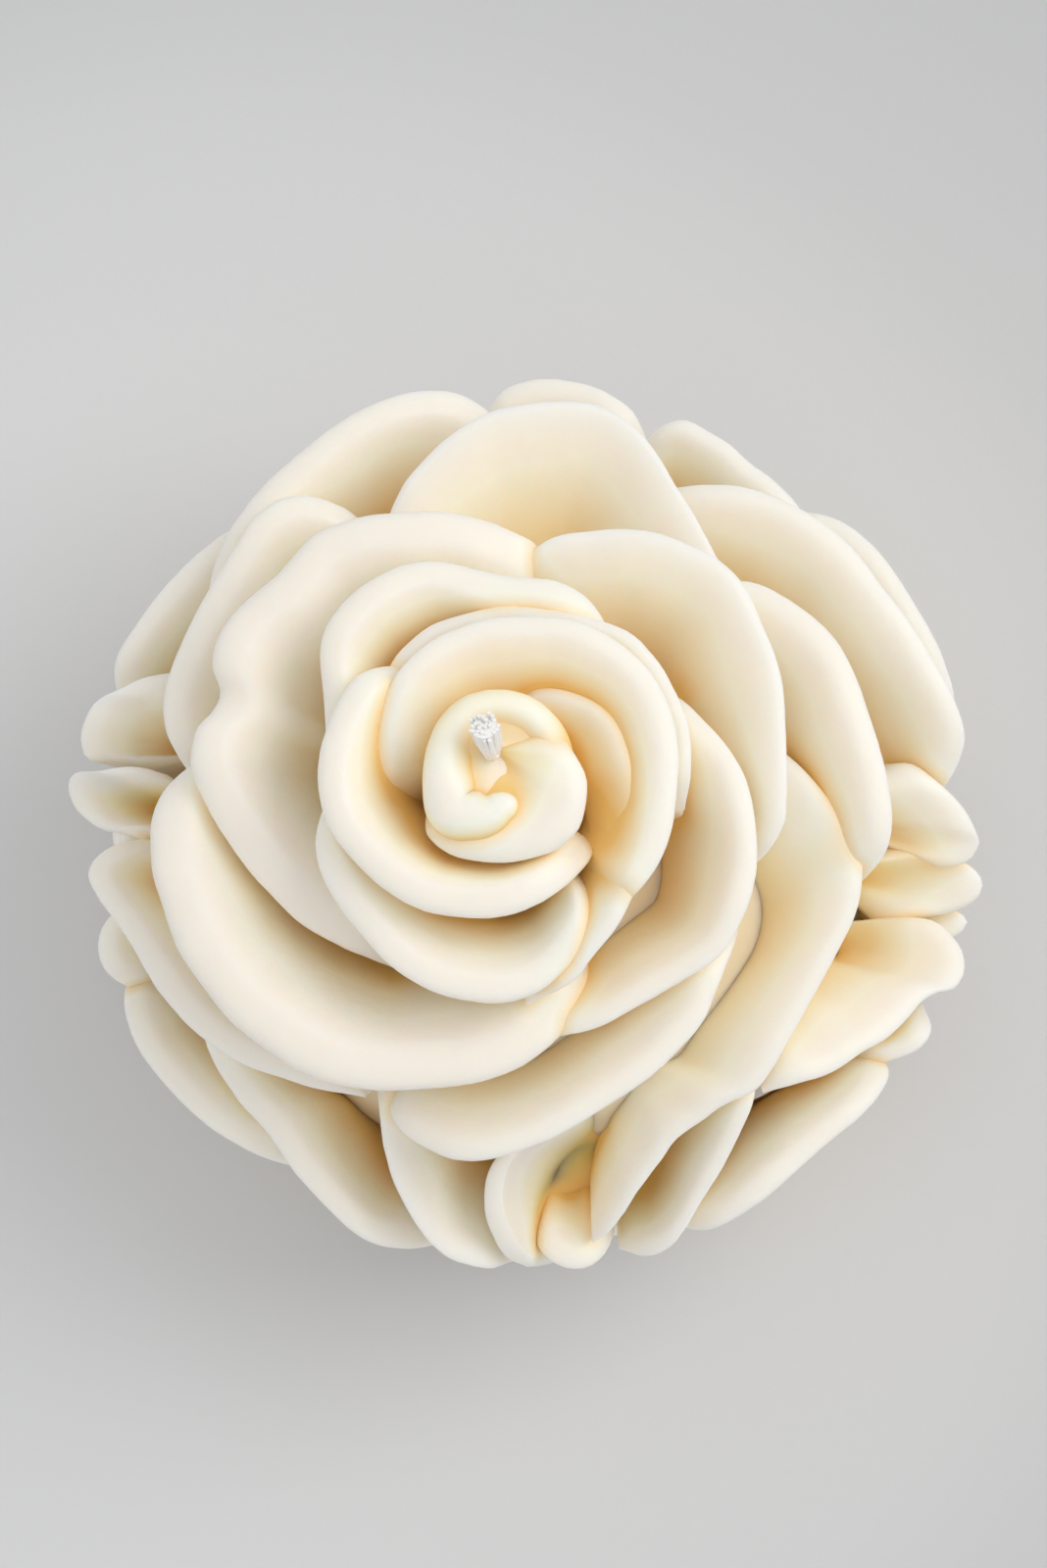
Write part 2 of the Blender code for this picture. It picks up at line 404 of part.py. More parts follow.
def tip_share(distance, length):
    """How full the petal's section is, from its tips, where it is thin, to its middle."""
    nearest = max(0, min(distance, length - distance, TIP_LENGTH)) / TIP_LENGTH
    return max(LEAST_TIP_SHARE, math.sqrt(1 - (1 - nearest) ** 2))


def petal_outline(petal, room, fullness, root):
    """The section's corners once round, as (across, up) from the lip. The heart is at -room."""
    cup = min(CUP_WIDTH * petal.cup_share, room * WIDEST_CUP_SHARE)
    drop = CUP_DEPTH * petal.drop_share
    roll = min(LIP_ROLL * petal.roll_share * fullness, cup * WIDEST_ROLL_SHARE)
    rise = roll * RISE_SHARE
    rim = min(LIP_THICKNESS * fullness, cup * WIDEST_RIM_SHARE)
    foot = min(rim + cup * ROOT_WIDTH_SHARE, room * WIDEST_ROOT_SHARE)
    face = cup - roll
    points = [(-roll - face * width, rise - (drop + rise) * depth) for width, depth in INNER_FACE_SHARES]
    points.reverse()
    points += [(-roll * width, rise * height) for width, height in ROLL_SHARES]
    inward, down = (-rim * share for share in UNDER_LIP_SHARES)
    points.append((inward, down))
    deepest = min(root, -drop - ROOT_DEPTH)
    bulge_in, bulge_down = BULGE_SHARES
    points.append((inward - (foot + inward) * bulge_in, down + (deepest - down) * bulge_down))
    points.append((-foot, deepest))
    points.append((-min(max(cup, foot + rim), room * DEEPEST_ROOT_SHARE), deepest))
    return points


def petal_sections(petal, reach_unit, height_unit, turn):
    """The corners of every section along the lip, in the flower's frame."""
    lip = [polar_point(bearing + turn, reach * reach_unit, height * height_unit)
           for bearing, reach, height in petal.lip_shares]
    heart = polar_point(petal.heart_share[0] + turn, petal.heart_share[1] * reach_unit, 0)
    root_height = petal.root_share * height_unit
    sections = []
    for point, distance, length in even_stations(smooth_line(lip), LIP_STATION):
        fullness = tip_share(distance, length)
        edge = point - Vector((0, 0, TIP_DROP * (1 - fullness)))
        outward = Vector((point.x - heart.x, point.y - heart.y, 0))
        outline = petal_outline(petal, outward.length, fullness, root_height - edge.z)
        outward.normalize()
        sections.append([edge + outward * across + Vector((0, 0, up)) for across, up in outline])
    return sections


def sweep_petal(sections):
    """The closed mesh through the sections."""
    bm = bmesh.new()
    rings = [[bm.verts.new(corner) for corner in section] for section in sections]
    for ring, following in zip(rings, rings[1:]):
        for index, corner in enumerate(ring):
            side = index - 1
            bm.faces.new((ring[side], corner, following[index]))
            bm.faces.new((ring[side], following[index], following[side]))
    bm.faces.new(rings[0])
    bm.faces.new(rings[-1])
    face_outwards(bm)
    bmesh.ops.triangulate(bm, faces=bm.faces)
    return bm


def grown_mesh(name, bm, gap):
    """The same shape grown by the gap on every side."""
    grown = bm.copy()
    grown.normal_update()
    for corner in grown.verts:
        corner.co += corner.normal * (gap * min(MOST_CORNER_SHARE, corner.calc_shell_factor()))
    return mesh_from(name, grown)


def hidden_cutter(name, mesh):
    """An object that only serves to cut others."""
    cutter = bpy.data.objects.new(name, mesh)
    bpy.context.scene.collection.objects.link(cutter)
    cutter.hide_render = True
    cutter.display_type = "WIRE"
    return cutter


def surfaces_cross(one, other):
    """Whether any faces of the two objects' meshes cut one another."""
    trees = []
    for obj in (one, other):
        bm = bmesh.new()
        bm.from_mesh(obj.data)
        trees.append(BVHTree.FromBMesh(bm))
        bm.free()
    return bool(trees[0].overlap(trees[1]))


def keep_largest_body(bm):
    """Deletes every loose body but the one with the greatest volume."""
    unseen = set(bm.verts)
    bodies = []
    while unseen:
        body = set()
        waiting = [unseen.pop()]
        while waiting:
            corner = waiting.pop()
            body.add(corner)
            for edge in corner.link_edges:
                neighbour = edge.other_vert(corner)
                if neighbour in unseen:
                    unseen.discard(neighbour)
                    waiting.append(neighbour)
        bodies.append(body)
    bodies.sort(key=body_size)
    spare = [corner for body in bodies[:-1] for corner in body]
    bmesh.ops.delete(bm, geom=spare, context="VERTS")


def body_size(corners):
    """The volume that the faces on these corners enclose."""
    volume = 0.0
    for face in {face for corner in corners for face in corner.link_faces}:
        first = face.verts[0].co
        for start, end in zip(face.verts[1:], face.verts[2:]):
            volume += first.dot(start.co.cross(end.co)) / 6
    return abs(volume)


def is_closed(mesh):
    """Whether two faces meet at every edge."""
    bm = bmesh.new()
    bm.from_mesh(mesh)
    closed = all(edge.is_manifold for edge in bm.edges)
    bm.free()
    return closed


def difference(obj, cutter):
    """The object's mesh with the cutter cut out of it, by the second solver where the first leaves holes."""
    modifier = obj.modifiers.new("cut", "BOOLEAN")
    modifier.operation = "DIFFERENCE"
    modifier.object = cutter
    result = modified_mesh(obj)
    if not is_closed(result):
        modifier.solver = "MANIFOLD"
        result = modified_mesh(obj)
    obj.modifiers.remove(modifier)
    return result


def modified_mesh(obj):
    """A copy of the object's mesh as its modifiers leave it."""
    graph = bpy.context.evaluated_depsgraph_get()
    return bpy.data.meshes.new_from_object(obj.evaluated_get(graph))


def cut_away(obj, cutters):
    """Cuts the cutters out of the object and keeps its largest body."""
    for cutter in cutters:
        if surfaces_cross(obj, cutter):
            obj.data = difference(obj, cutter)
    bm = bmesh.new()
    bm.from_mesh(obj.data)
    keep_largest_body(bm)
    material = obj.data.materials[0]
    obj.data = mesh_from(obj.name, bm)
    obj.data.materials.append(material)


def turned_mesh(name, profile, sides, hollow=False):
    """A mesh turned about the axis. A hollow profile closes itself, and another is capped at both ends."""
    bm = bmesh.new()
    rings = []
    for radius, height in profile:
        rings.append([bm.verts.new(polar_point(360 * step / sides, radius, height)) for step in range(sides)])
    following_rings = rings[1:] + rings[:1] if hollow else rings[1:]
    for ring, following in zip(rings, following_rings):
        for index, corner in enumerate(ring):
            side = index - 1
            bm.faces.new((ring[side], corner, following[index], following[side]))
    if not hollow:
        bm.faces.new(rings[0])
        bm.faces.new(rings[-1])
    face_outwards(bm)
    return mesh_from(name, bm)


def core_outline(gap):
    """(radius, height) up the outside of the core, from its foot to its top, grown by the gap."""
    outline = [(FOOT_RADIUS - FOOT_CHAMFER + gap, 0.0), (FOOT_RADIUS + gap, FOOT_CHAMFER)]
    for radius, height in CORE_OUTLINE_SHARES:
        outline.append((radius * CORE_RADIUS + gap, height * (CORE_HEIGHT + gap)))
    return outline


def build_core(wax):
    """The solid middle, with its bore for the wick and its recess for the tab and the tab's neck."""
    bore = WICK_RADIUS + WICK_CLEARANCE
    neck = bore + NECK_WALL + TAB_CLEARANCE
    recess = TAB_RADIUS + TAB_CLEARANCE
    recess_top = TAB_THICKNESS + TAB_CLEARANCE
    neck_top = recess_top + NECK_HEIGHT
    inside = [(bore, CORE_HEIGHT), (bore, neck_top), (neck, neck_top), (neck, recess_top)]
    inside += [(recess, recess_top), (recess, 0.0)]
    mesh = turned_mesh("wax_core", core_outline(0) + inside, ROUND_SIDES, hollow=True)
    add_object("wax_core", mesh, wax)


def build_wick(cotton, tinplate):
    """The wick from the tab's face to its stub, and the tab with the neck that grips it."""
    foot = TAB_THICKNESS + WICK_CLEARANCE
    stem = turned_mesh("wick", [(WICK_RADIUS, foot), (WICK_RADIUS, WICK_STUB_TOP)], BORE_SIDES)
    add_object("wick", stem, cotton)
    grip = WICK_RADIUS + WICK_CLEARANCE
    profile = [(TAB_RADIUS, 0.0), (TAB_RADIUS, TAB_THICKNESS), (grip + NECK_WALL, TAB_THICKNESS)]
    profile += [(grip + NECK_WALL, TAB_THICKNESS + NECK_HEIGHT), (grip, TAB_THICKNESS + NECK_HEIGHT)]
    profile.append((grip, TAB_THICKNESS))
    add_object("wick_tab", turned_mesh("wick_tab", profile, ROUND_SIDES), tinplate)


def fixed_cutters():
    """What every petal keeps clear of: the core, the wick and the plane that the candle stands on."""
    core = turned_mesh("cut_core", core_outline(SEAT_GAP), ROUND_SIDES)
    bore = WICK_RADIUS + WICK_CLEARANCE
    wick = turned_mesh("cut_wick", [(bore, SEAT_GAP), (bore, WICK_STUB_TOP + OVERRUN)], BORE_SIDES)
    span = BLOOM_REACH + OVERRUN
    floor = turned_mesh("cut_floor", [(span, -BLOOM_REACH), (span, SEAT_GAP)], BORE_SIDES)
    return [hidden_cutter(mesh.name, mesh) for mesh in (core, wick, floor)]


def side_rose_frame(bearing):
    """The frame of a side rose: its Z points outwards and its Y up."""
    outward = polar_point(bearing, 1, 0)
    up = Vector((0, 0, 1))
    across = up.cross(outward)
    turned = Matrix((across, up, outward)).transposed().to_4x4()
    return Matrix.Translation((0, 0, SIDE_ROSE_HEIGHT)) @ turned


def petals_in_order():
    """(name, petal, frame, reach, height, turn) of every petal, the ones that others seat on first."""
    whole = Matrix.Identity(4)
    order = [(petal.name, petal, whole, BLOOM_REACH, WAX_HEIGHT, 0) for petal in TOP_ROSE_SHARES]
    for rose, bearing, turn, share in SIDE_ROSES:
        frame = side_rose_frame(bearing)
        for petal in SIDE_ROSE_SHARES:
            name = rose + "_rose_" + petal.name
            twist = turn if petal.name in TURNED_PETALS else 0
            order.append((name, petal, frame, SIDE_ROSE_RADIUS, SIDE_ROSE_REACH * share, twist))
    shoulder = SHOULDER_SHARES + SKIRT_SHARES
    order += [(petal.name, petal, whole, BLOOM_REACH, WAX_HEIGHT, 0) for petal in shoulder]
    return order


def build_petals(wax):
    """Sweeps each petal, and seats it on the core and on the petals before it."""
    cutters = fixed_cutters()
    for name, petal, frame, reach, height, turn in petals_in_order():
        bm = sweep_petal(petal_sections(petal, reach, height, turn))
        bm.transform(frame)
        spaced = hidden_cutter("gap_" + name, grown_mesh("gap_" + name, bm, SEAT_GAP))
        bare = hidden_cutter("cut_" + name, mesh_from("cut_" + name, bm))
        cut_away(add_object(name, bare.data.copy(), wax), cutters)
        cutters += [spaced, bare]


def main():
    clear_scene()
    wax = make_material("ivory_wax", WAX_COLOUR, 0.45)
    core_wax = make_material("core_wax", CORE_COLOUR, 0.50)
    cotton = make_material("cotton", COTTON_COLOUR, 0.90)
    tinplate = make_material("tinplate", TINPLATE_COLOUR, 0.35, 1.0)
    build_core(core_wax)
    build_wick(cotton, tinplate)
    build_petals(wax)


main()
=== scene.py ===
"""The looks of a rose pillar candle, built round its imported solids.

Each petal is a closed form in ivory wax: a rounded lip, a cupped inner face that steepens into the
crevice, and an outer wall that bulges and then draws in. It is swept along the lip of its solid.
The bud is one roll of wax laid round a shallow hollow. The core, the wick and the tab under it are
finer turned or laid pieces in the places of their solids.
"""

import logging
import math
from abc import ABC, abstractmethod
from dataclasses import dataclass
from enum import Enum

import bmesh
import bpy
import numpy as np
from mathutils import Matrix, Vector, noise
from mathutils.bvhtree import BVHTree


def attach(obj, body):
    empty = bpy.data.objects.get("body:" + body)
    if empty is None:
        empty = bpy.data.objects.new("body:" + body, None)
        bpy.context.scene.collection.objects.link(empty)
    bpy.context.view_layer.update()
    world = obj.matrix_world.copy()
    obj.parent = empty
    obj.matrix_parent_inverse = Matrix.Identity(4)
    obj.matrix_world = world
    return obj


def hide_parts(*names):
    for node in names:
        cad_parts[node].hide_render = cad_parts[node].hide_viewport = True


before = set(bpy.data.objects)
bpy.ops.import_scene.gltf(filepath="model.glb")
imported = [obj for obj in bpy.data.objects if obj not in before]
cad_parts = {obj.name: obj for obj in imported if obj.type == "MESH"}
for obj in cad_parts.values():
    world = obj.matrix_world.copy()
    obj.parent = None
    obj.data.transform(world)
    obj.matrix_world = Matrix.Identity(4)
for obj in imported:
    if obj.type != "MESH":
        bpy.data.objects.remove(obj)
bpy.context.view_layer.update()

log = logging.getLogger("rose_candle")

BODY = "root"
FORM = "_form"

BLOOM_REACH = 0.050
BLOOM_HEIGHT = 0.080
CANDLE_FRAME = Matrix.Identity(4)
UP = np.array([0.0, 0.0, 1.0])
CURVE_STEPS = 24  # points of a smooth curve between two given ones, before it is evened out
LEAST_STATIONS = 8  # steps of the shortest curve
EVEN_REACH = 4  # values on either side that an evened value is the mean of
SHARPEST_EDGE = 50  # degrees between two faces, above which their edge stays sharp
WORK_MARKS = ((0.00016, 190), (0.00005, 720))  # height and rate of the marks of hand work
SEED_STEP = (0.37, 0.61, 0.13)  # how far these marks shift for each step of the seed
GOLDEN_ANGLE = 2.399963  # radians from one fibre of the wick to the next

Colour = tuple[float, float, float]
Faces = list[tuple[int, ...]]
Form = bpy.types.Object
LipPoint = tuple[float, float, float]
Socket = bpy.types.NodeSocket


class Slot(Enum):
    """The finishes that the record names."""

    IVORY_WAX = "ivory_wax"
    CORE_WAX = "core_wax"
    COTTON = "cotton"
    TINPLATE = "tinplate"


@dataclass(frozen=True)
class LipWork:
    """How the section of a lip is shaped.

    Args:
        rim: Share of the rim's full thickness.
        rise: Rise of the roll as a share of its width.
        fall: Power by which the inner face falls from the ridge to the crevice.
        widest: Widest inner face as a share of the room.
    """

    rim: float
    rise: float
    fall: float = 1.40
    widest: float = 0.78


class Lip(Enum):
    """The ways in which the lips of the petals are worked."""

    CRISP = LipWork(rim=0.50, rise=0.42)
    SOFT = LipWork(rim=0.85, rise=0.42)
    ROLLED = LipWork(rim=1.15, rise=0.46)
    COILED = LipWork(rim=1.00, rise=0.62, widest=0.96)
    RIDGED = LipWork(rim=1.00, rise=0.50, fall=0.80)


@dataclass(frozen=True)
class Petal:
    """One petal of a flower, in shares of the flower's reach and height.

    Args:
        name: The petal's name within its flower.
        heart: Bearing in degrees and reach share of the line that its sections aim at.
        roll: Share of the full lip roll.
        cup: Share of the full cup width.
        drop: Share of the full cup depth.
        root: Height share of its root.
        lip: Bearing in degrees, reach share and height share of each point along the lip.
        style: How the lip is worked.
    """

    name: str
    heart: tuple[float, float]
    roll: float
    cup: float
    drop: float
    root: float
    lip: tuple[LipPoint, ...]
    style: Lip = Lip.SOFT


ON_AXIS = (0, 0)

TOP_ROSE_PETALS = (
    Petal("bud_wrap", ON_AXIS, 0.60, 0.60, -0.02, 0.70, (
        (34, 0.112, 0.960), (16, 0.132, 0.974), (0, 0.150, 0.980), (-9, 0.168, 0.981),
        (-19, 0.190, 0.980), (-30, 0.206, 0.978), (-42, 0.220, 0.972), (-57, 0.222, 0.968),
        (-75, 0.214, 0.966), (-92, 0.210, 0.963), (-108, 0.208, 0.956), (-122, 0.204, 0.944),
        (-134, 0.194, 0.926), (-146, 0.170, 0.900)), Lip.COILED),
    Petal("inner_petal_1", ON_AXIS, 0.62, 0.46, 0.40, 0.68, (
        (132, 0.272, 0.890), (145, 0.304, 0.925), (155, 0.316, 0.938), (166, 0.322, 0.944),
        (176, 0.330, 0.948), (186, 0.338, 0.950), (196, 0.344, 0.950), (205, 0.342, 0.950),
        (218, 0.334, 0.950), (232, 0.328, 0.950), (244, 0.326, 0.950), (255, 0.318, 0.950),
        (266, 0.314, 0.950), (277, 0.306, 0.948), (289, 0.294, 0.944), (300, 0.280, 0.932),
        (309, 0.264, 0.905), (317, 0.247, 0.868), (323, 0.232, 0.830)), Lip.ROLLED),
    Petal("inner_petal_2", ON_AXIS, 0.42, 0.56, 0.56, 0.68, (
        (200, 0.226, 0.850), (188, 0.234, 0.895), (170, 0.232, 0.925), (151, 0.242, 0.935),
        (139, 0.248, 0.938), (126, 0.252, 0.940), (111, 0.258, 0.940), (96, 0.264, 0.940),
        (80, 0.274, 0.942), (65, 0.292, 0.945), (54, 0.306, 0.947), (42, 0.320, 0.949),
        (31, 0.332, 0.950), (22, 0.340, 0.950), (12, 0.346, 0.950), (0, 0.350, 0.950),
        (-9, 0.354, 0.950), (-19, 0.362, 0.946), (-28, 0.370, 0.940), (-36, 0.374, 0.932),
        (-45, 0.372, 0.918), (-53, 0.362, 0.880)), Lip.SOFT),
    Petal("inner_petal_3", ON_AXIS, 0.28, 0.44, 0.40, 0.68, (
        (78, 0.138, 0.870), (66, 0.156, 0.890), (52, 0.180, 0.900), (38, 0.204, 0.908),
        (25, 0.230, 0.915), (12, 0.250, 0.920), (-5, 0.274, 0.922), (-17, 0.300, 0.922),
        (-27, 0.324, 0.920), (-36, 0.348, 0.918), (-45, 0.370, 0.914), (-55, 0.396, 0.906),
        (-65, 0.420, 0.892), (-70, 0.440, 0.880), (-76, 0.450, 0.866), (-84, 0.452, 0.840)),
        Lip.CRISP),
    Petal("inner_petal_4", ON_AXIS, 0.60, 0.58, 0.50, 0.64, (
        (189, 0.344, 0.840), (196, 0.358, 0.885), (205, 0.384, 0.902), (215, 0.402, 0.905),
        (228, 0.416, 0.905), (242, 0.440, 0.900), (252, 0.454, 0.896), (261, 0.460, 0.892),
        (270, 0.462, 0.888), (280, 0.446, 0.884), (288, 0.416, 0.884), (296, 0.380, 0.886),
        (302, 0.338, 0.880), (307, 0.310, 0.850)), Lip.ROLLED),
    Petal("inner_petal_5", ON_AXIS, 0.24, 0.30, 0.30, 0.66, (
        (156, 0.256, 0.845), (149, 0.270, 0.872), (136, 0.286, 0.888), (125, 0.294, 0.894),
        (113, 0.302, 0.898), (91, 0.302, 0.900), (81, 0.306, 0.902), (67, 0.318, 0.904),
        (57, 0.332, 0.906), (44, 0.354, 0.908), (35, 0.360, 0.908), (25, 0.364, 0.906),
        (9, 0.372, 0.902), (-4, 0.370, 0.892), (-13, 0.364, 0.860)), Lip.CRISP),
    Petal("inner_petal_6", (120, 0.10), 0.66, 0.50, 0.52, 0.64, (
        (180, 0.318, 0.830), (174, 0.334, 0.862), (167, 0.346, 0.880), (160, 0.360, 0.890),
        (153, 0.384, 0.896), (148, 0.406, 0.898), (143, 0.422, 0.900), (138, 0.430, 0.902),
        (131, 0.436, 0.902), (123, 0.436, 0.902), (115, 0.432, 0.900), (108, 0.420, 0.898),
        (101, 0.398, 0.896), (94, 0.378, 0.894), (87, 0.366, 0.892), (80, 0.368, 0.890),
        (73, 0.374, 0.888), (67, 0.372, 0.886), (60, 0.362, 0.880), (52, 0.342, 0.862),
        (46, 0.330, 0.835)), Lip.ROLLED),
    Petal("middle_petal_1", (160, 0.08), 0.88, 0.92, 0.90, 0.56, (
        (76, 0.432, 0.780), (82, 0.462, 0.812), (87, 0.478, 0.826), (94, 0.500, 0.838),
        (102, 0.526, 0.846), (110, 0.546, 0.850), (117, 0.570, 0.850), (123, 0.588, 0.848),
        (128, 0.598, 0.846), (133, 0.592, 0.846), (139, 0.592, 0.844), (144, 0.606, 0.840),
        (149, 0.618, 0.838), (154, 0.620, 0.836), (159, 0.610, 0.830), (163, 0.582, 0.818),
        (167, 0.586, 0.820), (171, 0.608, 0.826), (176, 0.612, 0.826), (180, 0.604, 0.822),
        (186, 0.580, 0.818), (193, 0.552, 0.812), (200, 0.530, 0.806), (207, 0.508, 0.800),
        (216, 0.488, 0.790), (226, 0.456, 0.776), (238, 0.424, 0.745)), Lip.ROLLED),
    Petal("middle_petal_2", (35, 0.16), 0.24, 0.76, 0.86, 0.56, (
        (91, 0.398, 0.775), (86, 0.424, 0.808), (82, 0.450, 0.822), (77, 0.478, 0.832),
        (71, 0.502, 0.838), (64, 0.530, 0.844), (57, 0.556, 0.848), (50, 0.574, 0.850),
        (44, 0.588, 0.850), (37, 0.590, 0.850), (29, 0.580, 0.848), (22, 0.574, 0.846),
        (15, 0.566, 0.843), (7, 0.556, 0.838), (-1, 0.552, 0.832), (-9, 0.556, 0.822),
        (-13, 0.550, 0.810), (-17, 0.532, 0.790), (-20, 0.500, 0.750)), Lip.CRISP),
    Petal("middle_petal_3", (-20, 0.12), 0.42, 0.66, 0.80, 0.56, (
        (28, 0.364, 0.770), (22, 0.378, 0.815), (14, 0.404, 0.835), (5, 0.442, 0.843),
        (-2, 0.470, 0.845), (-10, 0.496, 0.844), (-17, 0.516, 0.840), (-24, 0.532, 0.834),
        (-32, 0.546, 0.825), (-40, 0.552, 0.812), (-48, 0.534, 0.800), (-58, 0.520, 0.790),
        (-69, 0.520, 0.778), (-77, 0.514, 0.764), (-84, 0.500, 0.735)), Lip.SOFT),
    Petal("middle_petal_4", (225, 0.14), 1.00, 0.92, 0.72, 0.54, (
        (171, 0.580, 0.700), (175, 0.618, 0.748), (179, 0.658, 0.768), (183, 0.688, 0.780),
        (187, 0.704, 0.787), (192, 0.710, 0.792), (197, 0.714, 0.796), (208, 0.718, 0.798),
        (218, 0.714, 0.798), (224, 0.710, 0.797), (230, 0.702, 0.795), (235, 0.696, 0.792),
        (241, 0.682, 0.788), (247, 0.662, 0.784), (253, 0.636, 0.780), (260, 0.610, 0.776),
        (267, 0.588, 0.772), (273, 0.564, 0.768), (279, 0.528, 0.764), (284, 0.496, 0.760),
        (288, 0.466, 0.755), (292, 0.428, 0.740), (296, 0.400, 0.705)), Lip.ROLLED),
    Petal("outer_petal_1", (280, 0.20), 0.46, 0.72, 0.66, 0.50, (
        (-32, 0.530, 0.700), (-37, 0.548, 0.735), (-42, 0.566, 0.745), (-46, 0.582, 0.745),
        (-51, 0.606, 0.742), (-57, 0.620, 0.738), (-64, 0.640, 0.732), (-73, 0.662, 0.724),
        (-81, 0.690, 0.716), (-88, 0.716, 0.708), (-94, 0.734, 0.700), (-99, 0.738, 0.690),
        (-104, 0.725, 0.675), (-108, 0.706, 0.662), (-111, 0.679, 0.648), (-114, 0.640, 0.620))),
    Petal("outer_petal_2", (12, 0.22), 0.52, 0.72, 0.66, 0.50, (
        (47, 0.560, 0.700), (43, 0.596, 0.735), (39, 0.630, 0.748), (34, 0.658, 0.755),
        (28, 0.686, 0.760), (22, 0.706, 0.762), (16, 0.716, 0.762), (10, 0.722, 0.760),
        (4, 0.736, 0.756), (-1, 0.748, 0.750), (-6, 0.758, 0.740), (-10, 0.756, 0.722),
        (-13, 0.734, 0.690), (-16, 0.700, 0.640))),
    Petal("outer_petal_3", (80, 0.22), 0.18, 1.00, 0.92, 0.52, (
        (120, 0.538, 0.690), (116, 0.570, 0.724), (113, 0.606, 0.738), (108, 0.652, 0.748),
        (102, 0.698, 0.752), (97, 0.730, 0.754), (92, 0.756, 0.755), (86, 0.772, 0.755),
        (81, 0.782, 0.754), (76, 0.784, 0.752), (71, 0.764, 0.752), (66, 0.728, 0.753),
        (61, 0.688, 0.754), (55, 0.650, 0.756), (48, 0.616, 0.756), (42, 0.596, 0.745),
        (37, 0.570, 0.710)), Lip.CRISP),
    Petal("outer_petal_4", (150, 0.24), 0.62, 0.62, 0.52, 0.48, (
        (117, 0.620, 0.655), (120, 0.676, 0.690), (124, 0.732, 0.708), (128, 0.756, 0.714),
        (133, 0.760, 0.716), (138, 0.746, 0.716), (143, 0.734, 0.716), (149, 0.730, 0.716),
        (156, 0.728, 0.714), (163, 0.724, 0.708), (168, 0.710, 0.700), (172, 0.684, 0.690),
        (176, 0.648, 0.665)), Lip.ROLLED),
    Petal("outer_petal_5", (33, 0.30), 0.40, 0.72, 0.62, 0.46, (
        (67, 0.676, 0.630), (62, 0.710, 0.668), (58, 0.738, 0.680), (53, 0.772, 0.686),
        (47, 0.802, 0.690), (41, 0.824, 0.692), (35, 0.840, 0.692), (29, 0.846, 0.690),
        (22, 0.864, 0.685), (16, 0.884, 0.674), (11, 0.902, 0.660), (7, 0.908, 0.640),
        (4, 0.888, 0.612), (1, 0.846, 0.570))),
    Petal("outer_petal_6", (122, 0.36), 0.66, 0.66, 0.58, 0.44, (
        (91, 0.770, 0.560), (94, 0.820, 0.602), (98, 0.856, 0.628), (102, 0.870, 0.640),
        (106, 0.872, 0.648), (111, 0.866, 0.654), (117, 0.852, 0.658), (124, 0.834, 0.660),
        (131, 0.818, 0.660), (138, 0.796, 0.656), (144, 0.766, 0.650), (150, 0.730, 0.635)),
        Lip.ROLLED),
    Petal("outer_petal_7", (-75, 0.42), 0.34, 0.76, 0.56, 0.44, (
        (12, 0.520, 0.680), (7, 0.548, 0.712), (2, 0.590, 0.716), (-3, 0.636, 0.714),
        (-7, 0.678, 0.708), (-11, 0.706, 0.700), (-15, 0.718, 0.692), (-20, 0.724, 0.682),
        (-27, 0.720, 0.672), (-34, 0.722, 0.662), (-42, 0.734, 0.648), (-47, 0.750, 0.636),
        (-51, 0.758, 0.626), (-56, 0.742, 0.618), (-60, 0.742, 0.606), (-65, 0.750, 0.594),
        (-69, 0.780, 0.578), (-73, 0.812, 0.558), (-76, 0.846, 0.535), (-79, 0.874, 0.510),
        (-81, 0.880, 0.485))),
    Petal("outer_petal_8", (210, 0.36), 0.60, 0.46, 0.40, 0.42, (
        (183, 0.780, 0.540), (185, 0.850, 0.568), (188, 0.886, 0.586), (192, 0.868, 0.606),
        (197, 0.838, 0.622), (204, 0.818, 0.636), (210, 0.806, 0.644), (216, 0.792, 0.648),
        (222, 0.768, 0.650), (228, 0.740, 0.650), (236, 0.700, 0.642), (243, 0.666, 0.625)),
        Lip.ROLLED),
)

